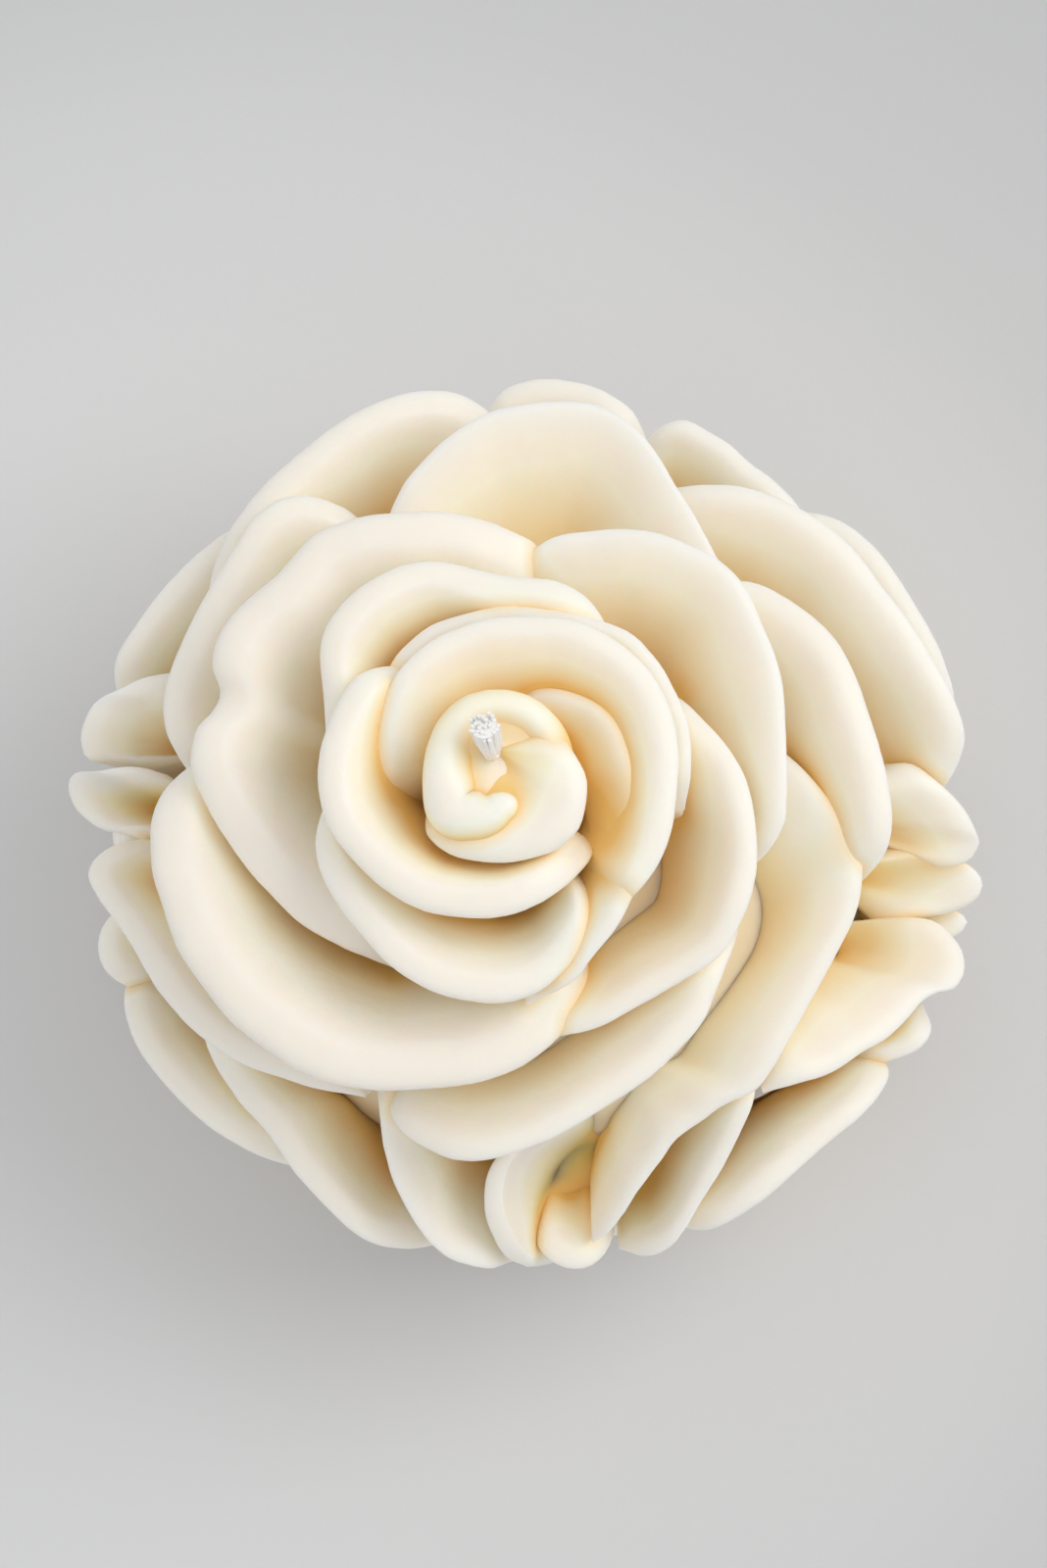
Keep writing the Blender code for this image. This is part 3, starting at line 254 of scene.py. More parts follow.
SHOULDER_PETALS = (
    Petal("shoulder_petal_01", (150, 0.48), 0.50, 0.50, 0.46, 0.08, (
        (130, 0.780, 0.520), (134, 0.836, 0.566), (140, 0.852, 0.580), (147, 0.868, 0.580),
        (154, 0.888, 0.568), (159, 0.900, 0.548), (163, 0.880, 0.510), (166, 0.840, 0.450))),
    Petal("shoulder_petal_02", (165, 0.62), 0.50, 0.62, 0.32, 0.10, (
        (157, 0.742, 0.600), (160, 0.804, 0.608), (163, 0.855, 0.600), (165, 0.900, 0.581),
        (168, 0.919, 0.562), (170, 0.923, 0.544), (172, 0.907, 0.531), (172, 0.855, 0.528),
        (172, 0.778, 0.530)), Lip.ROLLED),
    Petal("shoulder_petal_03", (197, 0.42), 0.50, 0.42, 0.40, 0.08, (
        (189, 0.800, 0.480), (193, 0.868, 0.520), (195, 0.900, 0.525), (198, 0.918, 0.520),
        (201, 0.908, 0.505), (204, 0.860, 0.460))),
    Petal("shoulder_petal_04", (219, 0.50), 0.54, 0.50, 0.46, 0.08, (
        (198, 0.850, 0.430), (202, 0.894, 0.470), (206, 0.914, 0.490), (211, 0.922, 0.498),
        (218, 0.914, 0.498), (225, 0.902, 0.490), (231, 0.880, 0.470), (237, 0.850, 0.430))),
    Petal("shoulder_petal_05", (245, 0.54), 0.56, 0.50, 0.50, 0.22, (
        (212, 0.750, 0.560), (216, 0.788, 0.575), (221, 0.808, 0.570), (226, 0.820, 0.560),
        (231, 0.828, 0.545), (237, 0.860, 0.525), (241, 0.880, 0.510), (246, 0.908, 0.490),
        (250, 0.922, 0.470), (254, 0.912, 0.445), (258, 0.880, 0.400))),
    Petal("shoulder_petal_06", (268, 0.40), 0.46, 0.66, 0.16, 0.36, (
        (243, 0.620, 0.620), (246, 0.670, 0.630), (249, 0.740, 0.612), (252, 0.800, 0.585),
        (255, 0.850, 0.555), (258, 0.892, 0.525), (261, 0.916, 0.500), (265, 0.922, 0.470),
        (268, 0.900, 0.420))),
    Petal("shoulder_petal_07", (290, 0.42), 0.34, 0.44, 0.44, 0.36, (
        (312, 0.700, 0.560), (309, 0.756, 0.590), (305, 0.790, 0.575), (300, 0.828, 0.550),
        (295, 0.870, 0.525), (291, 0.910, 0.500), (288, 0.930, 0.475), (285, 0.926, 0.445),
        (282, 0.890, 0.400))),
    Petal("shoulder_petal_08", (307, 0.52), 0.50, 0.52, 0.48, 0.08, (
        (289, 0.860, 0.400), (292, 0.906, 0.440), (295, 0.926, 0.470), (300, 0.926, 0.492),
        (306, 0.918, 0.502), (313, 0.918, 0.505), (319, 0.924, 0.500), (324, 0.916, 0.480),
        (327, 0.870, 0.440))),
    Petal("shoulder_petal_09", (331, 0.46), 0.44, 0.80, 0.36, 0.10, (
        (310, 0.764, 0.600), (315, 0.801, 0.600), (319, 0.833, 0.592), (324, 0.856, 0.583),
        (327, 0.878, 0.573), (331, 0.894, 0.562), (334, 0.905, 0.552), (336, 0.926, 0.542),
        (337, 0.948, 0.532), (339, 0.956, 0.522), (341, 0.950, 0.515), (343, 0.926, 0.510),
        (345, 0.875, 0.505), (345, 0.812, 0.505))),
    Petal("shoulder_petal_10", (328, 0.46), 0.36, 0.34, 0.34, 0.22, (
        (322, 0.850, 0.440), (326, 0.900, 0.470), (329, 0.935, 0.478), (332, 0.940, 0.475),
        (335, 0.900, 0.440))),
    Petal("shoulder_petal_11", (57, 0.40), 0.36, 0.46, 0.42, 0.08, (
        (73, 0.780, 0.540), (70, 0.836, 0.576), (67, 0.868, 0.590), (64, 0.868, 0.594),
        (60, 0.862, 0.598), (56, 0.850, 0.600), (51, 0.846, 0.600), (46, 0.836, 0.590),
        (42, 0.810, 0.560))),
    Petal("shoulder_petal_12", (28, 0.50), 0.40, 0.50, 0.46, 0.08, (
        (49, 0.810, 0.520), (46, 0.850, 0.560), (42, 0.880, 0.576), (37, 0.896, 0.582),
        (31, 0.904, 0.580), (25, 0.908, 0.574), (20, 0.914, 0.562), (15, 0.916, 0.540),
        (11, 0.900, 0.500))),
    Petal("shoulder_petal_13", (316, 0.900), 0.50, 0.38, 0.80, 0.42, (
        (284, 0.560, 0.585), (274, 0.640, 0.600), (268.5, 0.688, 0.594), (266, 0.730, 0.588),
        (265, 0.772, 0.575), (265, 0.816, 0.556), (266, 0.859, 0.525), (267.5, 0.898, 0.487),
        (270, 0.915, 0.450)), Lip.RIDGED),
    Petal("shoulder_petal_14", (359, 0.60), 0.60, 0.70, 0.06, 0.42, (
        (6, 0.752, 0.600), (5, 0.803, 0.608), (2, 0.851, 0.606), (359, 0.898, 0.588),
        (356, 0.929, 0.569), (355, 0.933, 0.550), (353, 0.912, 0.537), (352, 0.861, 0.534),
        (353, 0.791, 0.536)), Lip.ROLLED),
    Petal("shoulder_petal_15", (349, 0.640), 0.50, 0.90, -0.04, 0.42, (
        (355, 0.770, 0.538), (354, 0.820, 0.534), (353.5, 0.881, 0.526), (352.5, 0.930, 0.510),
        (351, 0.950, 0.498), (349, 0.940, 0.488), (347, 0.895, 0.484), (345, 0.830, 0.484),
        (342.5, 0.770, 0.486)), Lip.ROLLED),
    Petal("shoulder_petal_16", (116, 0.42), 0.50, 0.52, 0.48, 0.08, (
        (96, 0.790, 0.380), (101, 0.840, 0.430), (108, 0.868, 0.458), (116, 0.874, 0.465),
        (124, 0.868, 0.460), (131, 0.846, 0.440), (136, 0.800, 0.400))),
)

SIDE_ROSE_PETALS = (
    Petal("bud", ON_AXIS, 0.44, 0.40, 0.12, 0.44, (
        (-60, 0.140, 0.975), (-78, 0.184, 0.992), (-100, 0.212, 0.998), (-125, 0.218, 1.000),
        (-155, 0.204, 1.000), (-185, 0.198, 1.000), (-215, 0.202, 1.000), (-250, 0.208, 0.998),
        (-280, 0.216, 0.994), (-310, 0.222, 0.984), (-340, 0.222, 0.955)), Lip.COILED),
    Petal("inner_petal", ON_AXIS, 0.46, 0.40, 0.36, 0.44, (
        (30, 0.240, 0.930), (5, 0.300, 0.972), (-20, 0.344, 0.984), (-45, 0.370, 0.988),
        (-75, 0.384, 0.988), (-105, 0.386, 0.984), (-135, 0.374, 0.978), (-165, 0.350, 0.966),
        (-190, 0.310, 0.930)), Lip.ROLLED),
    Petal("middle_petal", ON_AXIS, 0.46, 0.46, 0.44, 0.44, (
        (205, 0.330, 0.900), (185, 0.410, 0.942), (165, 0.476, 0.954), (140, 0.520, 0.958),
        (115, 0.542, 0.958), (90, 0.550, 0.956), (65, 0.546, 0.952), (40, 0.528, 0.945),
        (15, 0.496, 0.932), (-8, 0.440, 0.890)), Lip.SOFT),
    Petal("outer_petal", ON_AXIS, 0.50, 0.56, 0.50, 0.40, (
        (38, 0.560, 0.850), (18, 0.650, 0.900), (0, 0.706, 0.912), (-25, 0.740, 0.914),
        (-50, 0.752, 0.912), (-75, 0.754, 0.908), (-100, 0.750, 0.902), (-125, 0.732, 0.894),
        (-150, 0.694, 0.880), (-176, 0.600, 0.835)), Lip.SOFT),
)

SKIRT_PETALS = (
    Petal("right_rose_skirt_petal", (346, 0.690), 0.50, 0.80, -0.02, 0.28, (
        (350, 0.790, 0.462), (349, 0.845, 0.458), (348, 0.900, 0.448), (347, 0.932, 0.438),
        (345, 0.916, 0.431), (343, 0.859, 0.431), (341, 0.790, 0.435)), Lip.ROLLED),
    Petal("back_rose_skirt_petal", (84, 0.58), 0.46, 0.62, 0.40, 0.42, (
        (70, 0.800, 0.520), (74, 0.866, 0.548), (78, 0.895, 0.552), (81, 0.908, 0.545),
        (85, 0.915, 0.540), (89, 0.912, 0.535), (93, 0.890, 0.530), (97, 0.820, 0.510)),
        Lip.ROLLED),
    Petal("left_rose_skirt_petal", (178, 0.64), 0.50, 0.56, 0.32, 0.42, (
        (173, 0.734, 0.560), (173, 0.806, 0.574), (174, 0.871, 0.565), (174, 0.925, 0.537),
        (175, 0.948, 0.512), (177, 0.943, 0.500), (179, 0.917, 0.500), (181, 0.872, 0.508),
        (182, 0.814, 0.518), (184, 0.758, 0.520)), Lip.ROLLED),
    Petal("front_rose_skirt_petal", (276.5, 0.600), 0.62, 0.62, 0.30, 0.38, (
        (270.6, 0.845, 0.436), (271.8, 0.880, 0.446), (273.4, 0.908, 0.448),
        (275.3, 0.923, 0.444), (277.2, 0.926, 0.439), (279.0, 0.916, 0.436),
        (280.8, 0.890, 0.432), (282.0, 0.855, 0.424))),
)


@dataclass(frozen=True)
class PetalShape:
    """Sizes that the sections of every petal share, in metres.

    Args:
        cup_width: Full width of the cupped inner face.
        cup_depth: Full depth of the crevice under the lip.
        lip_roll: Full width of the lip's roll, from its ridge to its outer edge.
        rim: Thickness of the lip.
        tip_length: How far from each end of the lip the petal thins.
        tip_drop: How far the lip drops at each end.
        root_depth: Least depth of the root under the crevice.
        station: Spacing of the sections along the lip.
        wall_curve: Power by which the outer wall draws in from the lip to the root.
        least_tip_share: Share of the full lip that is left at its ends.
        widest_roll_share: Widest roll as a share of the cup.
        widest_rim_share: Thickest rim as a share of the cup.
        root_width_share: Width of the root within the rim as a share of the cup.
        widest_root_share: Widest root as a share of the room.
        deepest_root_share: How near the root comes to the heart, as a share of the room.
        rim_turn: How far the rim turns under, in degrees.
        rim_tuck: How far it draws in, as a share of its thickness.
        painted_shade_power: Power by which the painted shade on the inner face deepens towards the
            crevice.
        wall_painted_shade: Painted shade at the foot of the outer wall.
        face_steps: Steps down the inner face.
        roll_steps: Steps over the roll.
        rim_steps: Steps round the rim.
        wall_steps: Steps down the outer wall.
    """

    cup_width: float = 0.0160
    cup_depth: float = 0.0140
    lip_roll: float = 0.0040
    rim: float = 0.0026
    tip_length: float = 0.0055
    tip_drop: float = 0.0022
    root_depth: float = 0.0020
    station: float = 0.0009
    wall_curve: float = 1.70
    least_tip_share: float = 0.30
    widest_roll_share: float = 0.45
    widest_rim_share: float = 0.50
    root_width_share: float = 0.90
    widest_root_share: float = 0.68
    deepest_root_share: float = 0.82
    rim_turn: float = 80
    rim_tuck: float = 0.5
    painted_shade_power: float = 1.2
    wall_painted_shade: float = 0.55
    face_steps: int = 12
    roll_steps: int = 6
    rim_steps: int = 5
    wall_steps: int = 8

    def section(self, petal: Petal, room: float, fullness: float,
                root: float) -> tuple[np.ndarray, np.ndarray]:
        """The closed outline of one section.

        Args:
            petal: The petal.
            room: Distance from the lip to the heart.
            fullness: Share of the full lip, below 1 near the tips.
            root: Height of the root under the lip, negative.

        Returns:
            The corners as (across, up) from the lip's edge, and how deep in the crevice each lies,
            from 0 to 1, which sets its painted shade.
        """
        work = petal.style.value
        cup = min(self.cup_width * petal.cup, room * work.widest)
        drop = self.cup_depth * petal.drop
        roll = min(self.lip_roll * petal.roll * fullness, cup * self.widest_roll_share)
        rise = roll * work.rise
        rim = min(self.rim * work.rim * fullness, cup * self.widest_rim_share)
        foot = min(rim + cup * self.root_width_share, room * self.widest_root_share)
        deepest = min(root, -drop - self.root_depth)

        down = np.linspace(1, 0, self.face_steps, endpoint=False)
        face = np.column_stack([-roll - (cup - roll) * down,
                                rise - (drop + rise) * down ** work.fall])
        bend = np.linspace(math.pi / 2, 0, self.roll_steps + 1)
        over = np.column_stack([-roll + roll * np.cos(bend), rise * np.sin(bend)])
        bend = np.linspace(0, math.radians(self.rim_turn), self.rim_steps + 1)[1:]
        under = np.column_stack([-self.rim_tuck * rim * (1 - np.cos(bend)), -rim * np.sin(bend)])
        along = np.linspace(0, 1, self.wall_steps + 1)[1:]
        top = under[-1]
        wall = np.column_stack([top[0] - (foot + top[0]) * along ** self.wall_curve,
                                top[1] + (deepest - top[1]) * along])
        back = np.array([[-min(max(cup, foot + rim), room * self.deepest_root_share), deepest]])

        corners = np.vstack([face, over, under, wall, back])
        # Painted shade: none on the lip, deepening down the inner face into the crevice and down
        # the outer wall to the root.
        painted_shade = np.concatenate([down ** self.painted_shade_power, np.zeros(len(over) + len(under)),
                                 self.wall_painted_shade * along, [1.0]])
        return corners, painted_shade


@dataclass(frozen=True)
class Grain:
    """A soft noise, and the bumps that it raises.

    Args:
        scale: How many times it repeats in a metre.
        detail: How many finer noises it holds.
        strength: How much its bumps show.
        height: Their full height in metres.
    """

    scale: float
    detail: float
    strength: float = 0.0
    height: float = 0.0


class Paint:
    """A node material under construction, with short calls for the nodes that the finishes use."""

    def __init__(self, name: str) -> None:
        """Starts a material with a Principled shader, laid out in the object's own space.

        Args:
            name: The material's name.
        """
        self.material = bpy.data.materials.new(name)
        self.material.use_nodes = True
        self.tree = self.material.node_tree
        self.shader = self.tree.nodes["Principled BSDF"]
        self.place = self.node("ShaderNodeTexCoord").outputs["Object"]

    def node(self, kind: str) -> bpy.types.Node:
        """A new node of this kind."""
        return self.tree.nodes.new(kind)

    def link(self, source: Socket, target: Socket) -> None:
        """Joins an output to an input."""
        self.tree.links.new(source, target)

    def drive(self, name: str, source: Socket) -> None:
        """Joins an output to this input of the shader."""
        self.link(source, self.shader.inputs[name])

    def put(self, name: str, value: float | Colour) -> None:
        """Sets this input of the shader."""
        self.shader.inputs[name].default_value = value

    def attribute(self, name: str) -> Socket:
        """The value of a mesh attribute.

        Args:
            name: The attribute's name.

        Returns:
            The value.
        """
        node = self.node("ShaderNodeAttribute")
        node.attribute_name = name
        return node.outputs["Fac"]

    def noise(self, grain: Grain, place: Socket | None = None) -> Socket:
        """A soft noise.

        Args:
            grain: Its scale and detail.
            place: Where it is read, if not in the object's own space.

        Returns:
            The noise, from 0 to 1.
        """
        node = self.node("ShaderNodeTexNoise")
        node.inputs["Scale"].default_value = grain.scale
        node.inputs["Detail"].default_value = grain.detail
        self.link(self.place if place is None else place, node.inputs["Vector"])
        return node.outputs["Fac"]

    def math(self, operation: str, *values: float | Socket) -> Socket:
        """The result of a sum on numbers or sockets.

        Args:
            operation: The Math node's operation.
            values: Its inputs, in order.

        Returns:
            The result.
        """
        node = self.node("ShaderNodeMath")
        node.operation = operation
        for socket, value in zip(node.inputs, values):
            if isinstance(value, (int, float)):
                socket.default_value = value
            else:
                self.link(value, socket)
        return node.outputs["Value"]

    def span(self, level: Socket, low: float, high: float) -> Socket:
        """A level as a number between two others.

        Args:
            level: The level, from 0 to 1.
            low: The number at 0.
            high: The number at 1.

        Returns:
            The number.
        """
        node = self.node("ShaderNodeMapRange")
        node.inputs["To Min"].default_value = low
        node.inputs["To Max"].default_value = high
        self.link(level, node.inputs["Value"])
        return node.outputs["Result"]

    def ramp(self, level: Socket, *stops: tuple[float, Colour]) -> Socket:
        """A colour from a level.

        Args:
            level: The level, from 0 to 1.
            stops: Level and colour of each stop.

        Returns:
            The colour.
        """
        node = self.node("ShaderNodeValToRGB")
        elements = node.color_ramp.elements
        while len(elements) < len(stops):
            elements.new(0.5)
        for element, (position, colour) in zip(elements, stops):
            element.position = position
            element.color = (*colour, 1.0)
        self.link(level, node.inputs["Fac"])
        return node.outputs["Color"]

    def bump(self, rise: Socket, grain: Grain, normal: Socket | None = None) -> Socket:
        """A bumped normal.

        Args:
            rise: The noise that raises the bumps, from 0 to 1.
            grain: Their strength and height.
            normal: A normal that they add to.

        Returns:
            The normal.
        """
        node = self.node("ShaderNodeBump")
        node.inputs["Strength"].default_value = grain.strength
        node.inputs["Distance"].default_value = grain.height
        self.link(rise, node.inputs["Height"])
        if normal is not None:
            self.link(normal, node.inputs["Normal"])
        return node.outputs["Normal"]


class Finish(ABC):
    """A procedural finish, which each kind lays in its own way."""

    def material(self, name: str) -> bpy.types.Material:
        """The node material of this finish.

        Args:
            name: The material's name.

        Returns:
            The material.
        """
        paint = Paint(name)
        self.lay(paint)
        return paint.material

    @abstractmethod
    def lay(self, paint: Paint) -> None:
        """Lays the finish on a material under construction."""


@dataclass(frozen=True)
class WaxFinish(Finish):
    """Pillar wax with light passing through: pale lips, inner faces lifted with painted light, and
    painted shade deepening to gold in the crevices.

    Args:
        pale: Colour of the lips.
        painted_light_cream: Colour of the inner faces, lifted with painted light against their
            shade.
        warm: Painted shade part of the way into a crevice.
        painted_shade_amber: Painted shade at the bottom of a crevice.
        levels: Level of each of these colours.
        seam_shade_weight: How much nearness to another form adds to the level of painted shade.
        cup_shade_weight: How much depth in the cup adds to the level of painted shade.
        cloud_weight: How much it varies from place to place.
        cloud: The soft unevenness of the wax.
        grain: Its fine grain.
        roughness: Least and greatest roughness of the surface.
        glow: Depth that light travels in the wax, in metres.
        glow_share: Share of the light that enters the wax.
        glow_colour: How far each colour travels, as a share of that depth.
        bend: Refractive index.
    """

    pale: Colour = (0.885, 0.830, 0.755)
    painted_light_cream: Colour = (0.975, 0.895, 0.775)
    warm: Colour = (0.975, 0.812, 0.560)
    painted_shade_amber: Colour = (0.915, 0.625, 0.225)
    levels: tuple[float, float, float, float] = (0.02, 0.20, 0.47, 0.80)
    seam_shade_weight: float = 0.52
    cup_shade_weight: float = 0.80
    cloud_weight: float = 0.14
    cloud: Grain = Grain(scale=140, detail=3, strength=0.18, height=0.0012)
    grain: Grain = Grain(scale=900, detail=4, strength=0.10, height=0.0004)
    roughness: tuple[float, float] = (0.41, 0.54)
    glow: float = 0.0038
    glow_share: float = 0.95
    glow_colour: Colour = (1.0, 0.82, 0.60)
    bend: float = 1.43

    def lay(self, paint: Paint) -> None:
        """Paints shade by cup depth and nearness to other forms; ends its glow at joints, which it
        would darken.

        Args:
            paint: The material under construction.
        """
        # Painted shade: depth in the cup and nearness to another form move the colour from the pale
        # lips to a deep gold.
        depth = paint.math("MULTIPLY", paint.attribute("painted_shade"), self.cup_shade_weight)
        deep = paint.math("MULTIPLY_ADD", paint.attribute("seam"), self.seam_shade_weight, depth)
        cloud = paint.noise(self.cloud)
        drift = paint.math("MULTIPLY", paint.math("SUBTRACT", cloud, 0.5), self.cloud_weight)
        stops = zip(self.levels, (self.pale, self.painted_light_cream, self.warm, self.painted_shade_amber))
        paint.drive("Base Color", paint.ramp(paint.math("ADD", deep, drift), *stops))
        grain = paint.noise(self.grain)
        paint.drive("Normal", paint.bump(cloud, self.cloud, normal=paint.bump(grain, self.grain)))
        paint.drive("Roughness", paint.span(grain, *self.roughness))
        paint.drive("Subsurface Weight", paint.span(paint.attribute("joint"), self.glow_share, 0.0))
        paint.put("Subsurface Radius", self.glow_colour)
        paint.put("Subsurface Scale", self.glow)
        paint.put("IOR", self.bend)


@dataclass(frozen=True)
class CottonFinish(Finish):
    """Bleached cotton yarn, a little waxed.

    Args:
        light: Its colour on the fibres.
        dark: Its colour between them.
        levels: Level of each of these colours.
        contrast: How much the fibres show in the level.
        fibre: The fibres.
        roughness: Roughness of the yarn.
        sheen: Its soft sheen.
    """

    light: Colour = (0.91, 0.90, 0.88)
    dark: Colour = (0.84, 0.82, 0.79)
    levels: tuple[float, float] = (0.15, 0.85)
    contrast: float = 0.6
    fibre: Grain = Grain(scale=2600, detail=5, strength=0.3, height=0.0002)
    roughness: float = 0.92
    sheen: float = 0.10

    def lay(self, paint: Paint) -> None:
        """Mottles the yarn with fine fibres.

        Args:
            paint: The material under construction.
        """
        fibre = paint.noise(self.fibre)
        level = paint.math("MULTIPLY", fibre, self.contrast)
        stops = zip(self.levels, (self.light, self.dark))
        paint.drive("Base Color", paint.ramp(level, *stops))
        paint.drive("Normal", paint.bump(fibre, self.fibre))
        paint.put("Roughness", self.roughness)
        paint.put("Sheen Weight", self.sheen)


@dataclass(frozen=True)
class TinFinish(Finish):
    """Rolled tinplate with fine brush lines and a dull film of wax.

    Args:
        bright: Colour of the bare metal.
        dull: Colour under the film.
        levels: Level of each of these colours.
        film: The clouds of the film.
        brush: Repeats of the brush lines in a metre, along each axis.
        lines: The brush lines, in those repeats.
        roughness: Least and greatest roughness of the metal.
    """

    bright: Colour = (0.66, 0.67, 0.69)
    dull: Colour = (0.44, 0.44, 0.44)
    levels: tuple[float, float] = (0.35, 0.75)
    film: Grain = Grain(scale=420, detail=4)
    brush: tuple[float, float, float] = (300, 9000, 300)
    lines: Grain = Grain(scale=1, detail=3, strength=0.15, height=0.0001)
    roughness: tuple[float, float] = (0.26, 0.48)

    def lay(self, paint: Paint) -> None:
        """Brushes the metal along one axis and clouds it with the film.

        Args:
            paint: The material under construction.
        """
        stretch = paint.node("ShaderNodeMapping")
        stretch.inputs["Scale"].default_value = self.brush
        paint.link(paint.place, stretch.inputs["Vector"])
        lines = paint.noise(self.lines, place=stretch.outputs["Vector"])
        stops = zip(self.levels, (self.bright, self.dull))
        paint.drive("Base Color", paint.ramp(paint.noise(self.film), *stops))
        paint.drive("Roughness", paint.span(lines, *self.roughness))
        paint.drive("Normal", paint.bump(lines, self.lines))
        paint.put("Metallic", 1.0)


@dataclass(frozen=True)
class BackdropFinish(Finish):
    """Matt studio paper with a painted pool of light: palest under the candle and greyer away from
    it.

    Args:
        pale: Colour of the paper round the candle, where the painted light is brightest.
        light_pool_centre: The middle of that painted pool of light, in metres.
        light_falloff: Distance from the middle, in metres, and share of the pale colour there, as
            the painted light fades.
        spread: Levels to the metre.
        tooth: The tooth of the paper.
        roughness: Its roughness.
    """

    pale: Colour = (0.66, 0.66, 0.665)
    light_pool_centre: tuple[float, float, float] = (-0.040, -0.008, 0.0)
    light_falloff: tuple[tuple[float, float], ...] = (
        (0.070, 1.00), (0.095, 0.95), (0.115, 0.86), (0.150, 0.78))
    spread: float = 5.0
    tooth: Grain = Grain(scale=700, detail=3, strength=0.06, height=0.0005)
    roughness: float = 0.88

    def lay(self, paint: Paint) -> None:
        """Greys the paper with its distance from the pale place, as a painted falloff of the light.

        Args:
            paint: The material under construction.
        """
        # Painted pool of light: the paper darkens with distance from the place under the candle.
        away = paint.node("ShaderNodeVectorMath")
        away.operation = "DISTANCE"
        away.inputs[1].default_value = self.light_pool_centre
        paint.link(paint.place, away.inputs[0])
        level = paint.math("MULTIPLY", away.outputs["Value"], self.spread)
        stops = [(self.spread * distance, tuple(share * part for part in self.pale))
                 for distance, share in self.light_falloff]
        paint.drive("Base Color", paint.ramp(level, *stops))
        paint.drive("Normal", paint.bump(paint.noise(self.tooth), self.tooth))
        paint.put("Roughness", self.roughness)


def smooth_curve(points: np.ndarray, spacing: float) -> np.ndarray:
    """Even points on the smooth curve through the given ones.

    Args:
        points: The points, one a row.
        spacing: Distance between the points of the result.

    Returns:
        The points of the curve, one a row.
    """
    padded = np.vstack([2 * points[0] - points[1], points, 2 * points[-1] - points[-2]])
    share = np.linspace(0, 1, CURVE_STEPS, endpoint=False)[:, None]
    line = []
    for before, start, end, after in zip(padded, padded[1:], padded[2:], padded[3:]):
        along, onward = (end - before) / 2, (after - start) / 2
        rise = 2 * start - 2 * end + along + onward
        bend = 3 * end - 3 * start - 2 * along - onward
        line.append(((rise * share + bend) * share + along) * share + start)
    line = np.vstack([*line, points[-1:]])
    lengths = distances(line)
    wanted = np.linspace(0, lengths[-1], max(LEAST_STATIONS, round(lengths[-1] / spacing)) + 1)
    return np.column_stack([np.interp(wanted, lengths, line[:, axis]) for axis in range(3)])


def distances(line: np.ndarray) -> np.ndarray:
    """The distance of each point of a line from its start."""
    return np.concatenate([[0], np.cumsum(np.linalg.norm(np.diff(line, axis=0), axis=1))])


def evened(values: np.ndarray) -> np.ndarray:
    """The values, each the mean of those around it."""
    share = np.full(2 * EVEN_REACH + 1, 1 / (2 * EVEN_REACH + 1))
    return np.convolve(np.pad(values, EVEN_REACH, mode="edge"), share, mode="valid")


def turned_rings(profile: list[tuple[float, float]], sides: int) -> np.ndarray:
    """Rings of points turned about the axis.

    Args:
        profile: Radius and height of each ring.
        sides: How many points a ring has.

    Returns:
        The points, one a row.
    """
    angles = np.linspace(0, 2 * math.pi, sides, endpoint=False)
    return np.vstack([np.column_stack([radius * np.cos(angles), radius * np.sin(angles),
                                       np.full(sides, height)]) for radius, height in profile])


def ring_walls(rings: int, corners: int, closed: bool) -> Faces:
    """Faces of a skin through rings of corners.

    Args:
        rings: How many rings there are.
        corners: How many corners each has.
        closed: Whether the last ring joins the first.

    Returns:
        The corner numbers of each face.
    """
    faces: Faces = []
    for ring in range(rings if closed else rings - 1):
        start, onward = ring * corners, (ring + 1) % rings * corners
        for corner in range(corners):
            side = (corner + 1) % corners
            faces.append((start + corner, start + side, onward + side, onward + corner))
    return faces


def capped_walls(rings: int, corners: int) -> Faces:
    """Faces of a skin through rings of corners, with a cap at each end.

    Args:
        rings: How many rings there are.
        corners: How many corners each has.

    Returns:
        The corner numbers of each face.
    """
    last = (rings - 1) * corners
    caps = [tuple(range(corners)), tuple(reversed(range(last, last + corners)))]
    return ring_walls(rings, corners, closed=False) + caps


def add_piece(name: str, points: np.ndarray, faces: Faces) -> Form:
    """A smooth closed object that rides on the candle.

    Args:
        name: The piece's name.
        points: Its points, one a row, in metres.
        faces: The corner numbers of each face.

    Returns:
        The object.
    """
    mesh = bpy.data.meshes.new(name)
    mesh.from_pydata(points.tolist(), [], faces)
    skin = bmesh.new()
    skin.from_mesh(mesh)
    bmesh.ops.recalc_face_normals(skin, faces=skin.faces)
    if skin.calc_volume(signed=True) < 0:
        bmesh.ops.reverse_faces(skin, faces=skin.faces)
    skin.to_mesh(mesh)
    skin.free()
    mesh.shade_smooth()
    mesh.set_sharp_from_angle(angle=math.radians(SHARPEST_EDGE))
    piece = bpy.data.objects.new(name, mesh)
    bpy.context.scene.collection.objects.link(piece)
    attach(piece, BODY)
    return piece


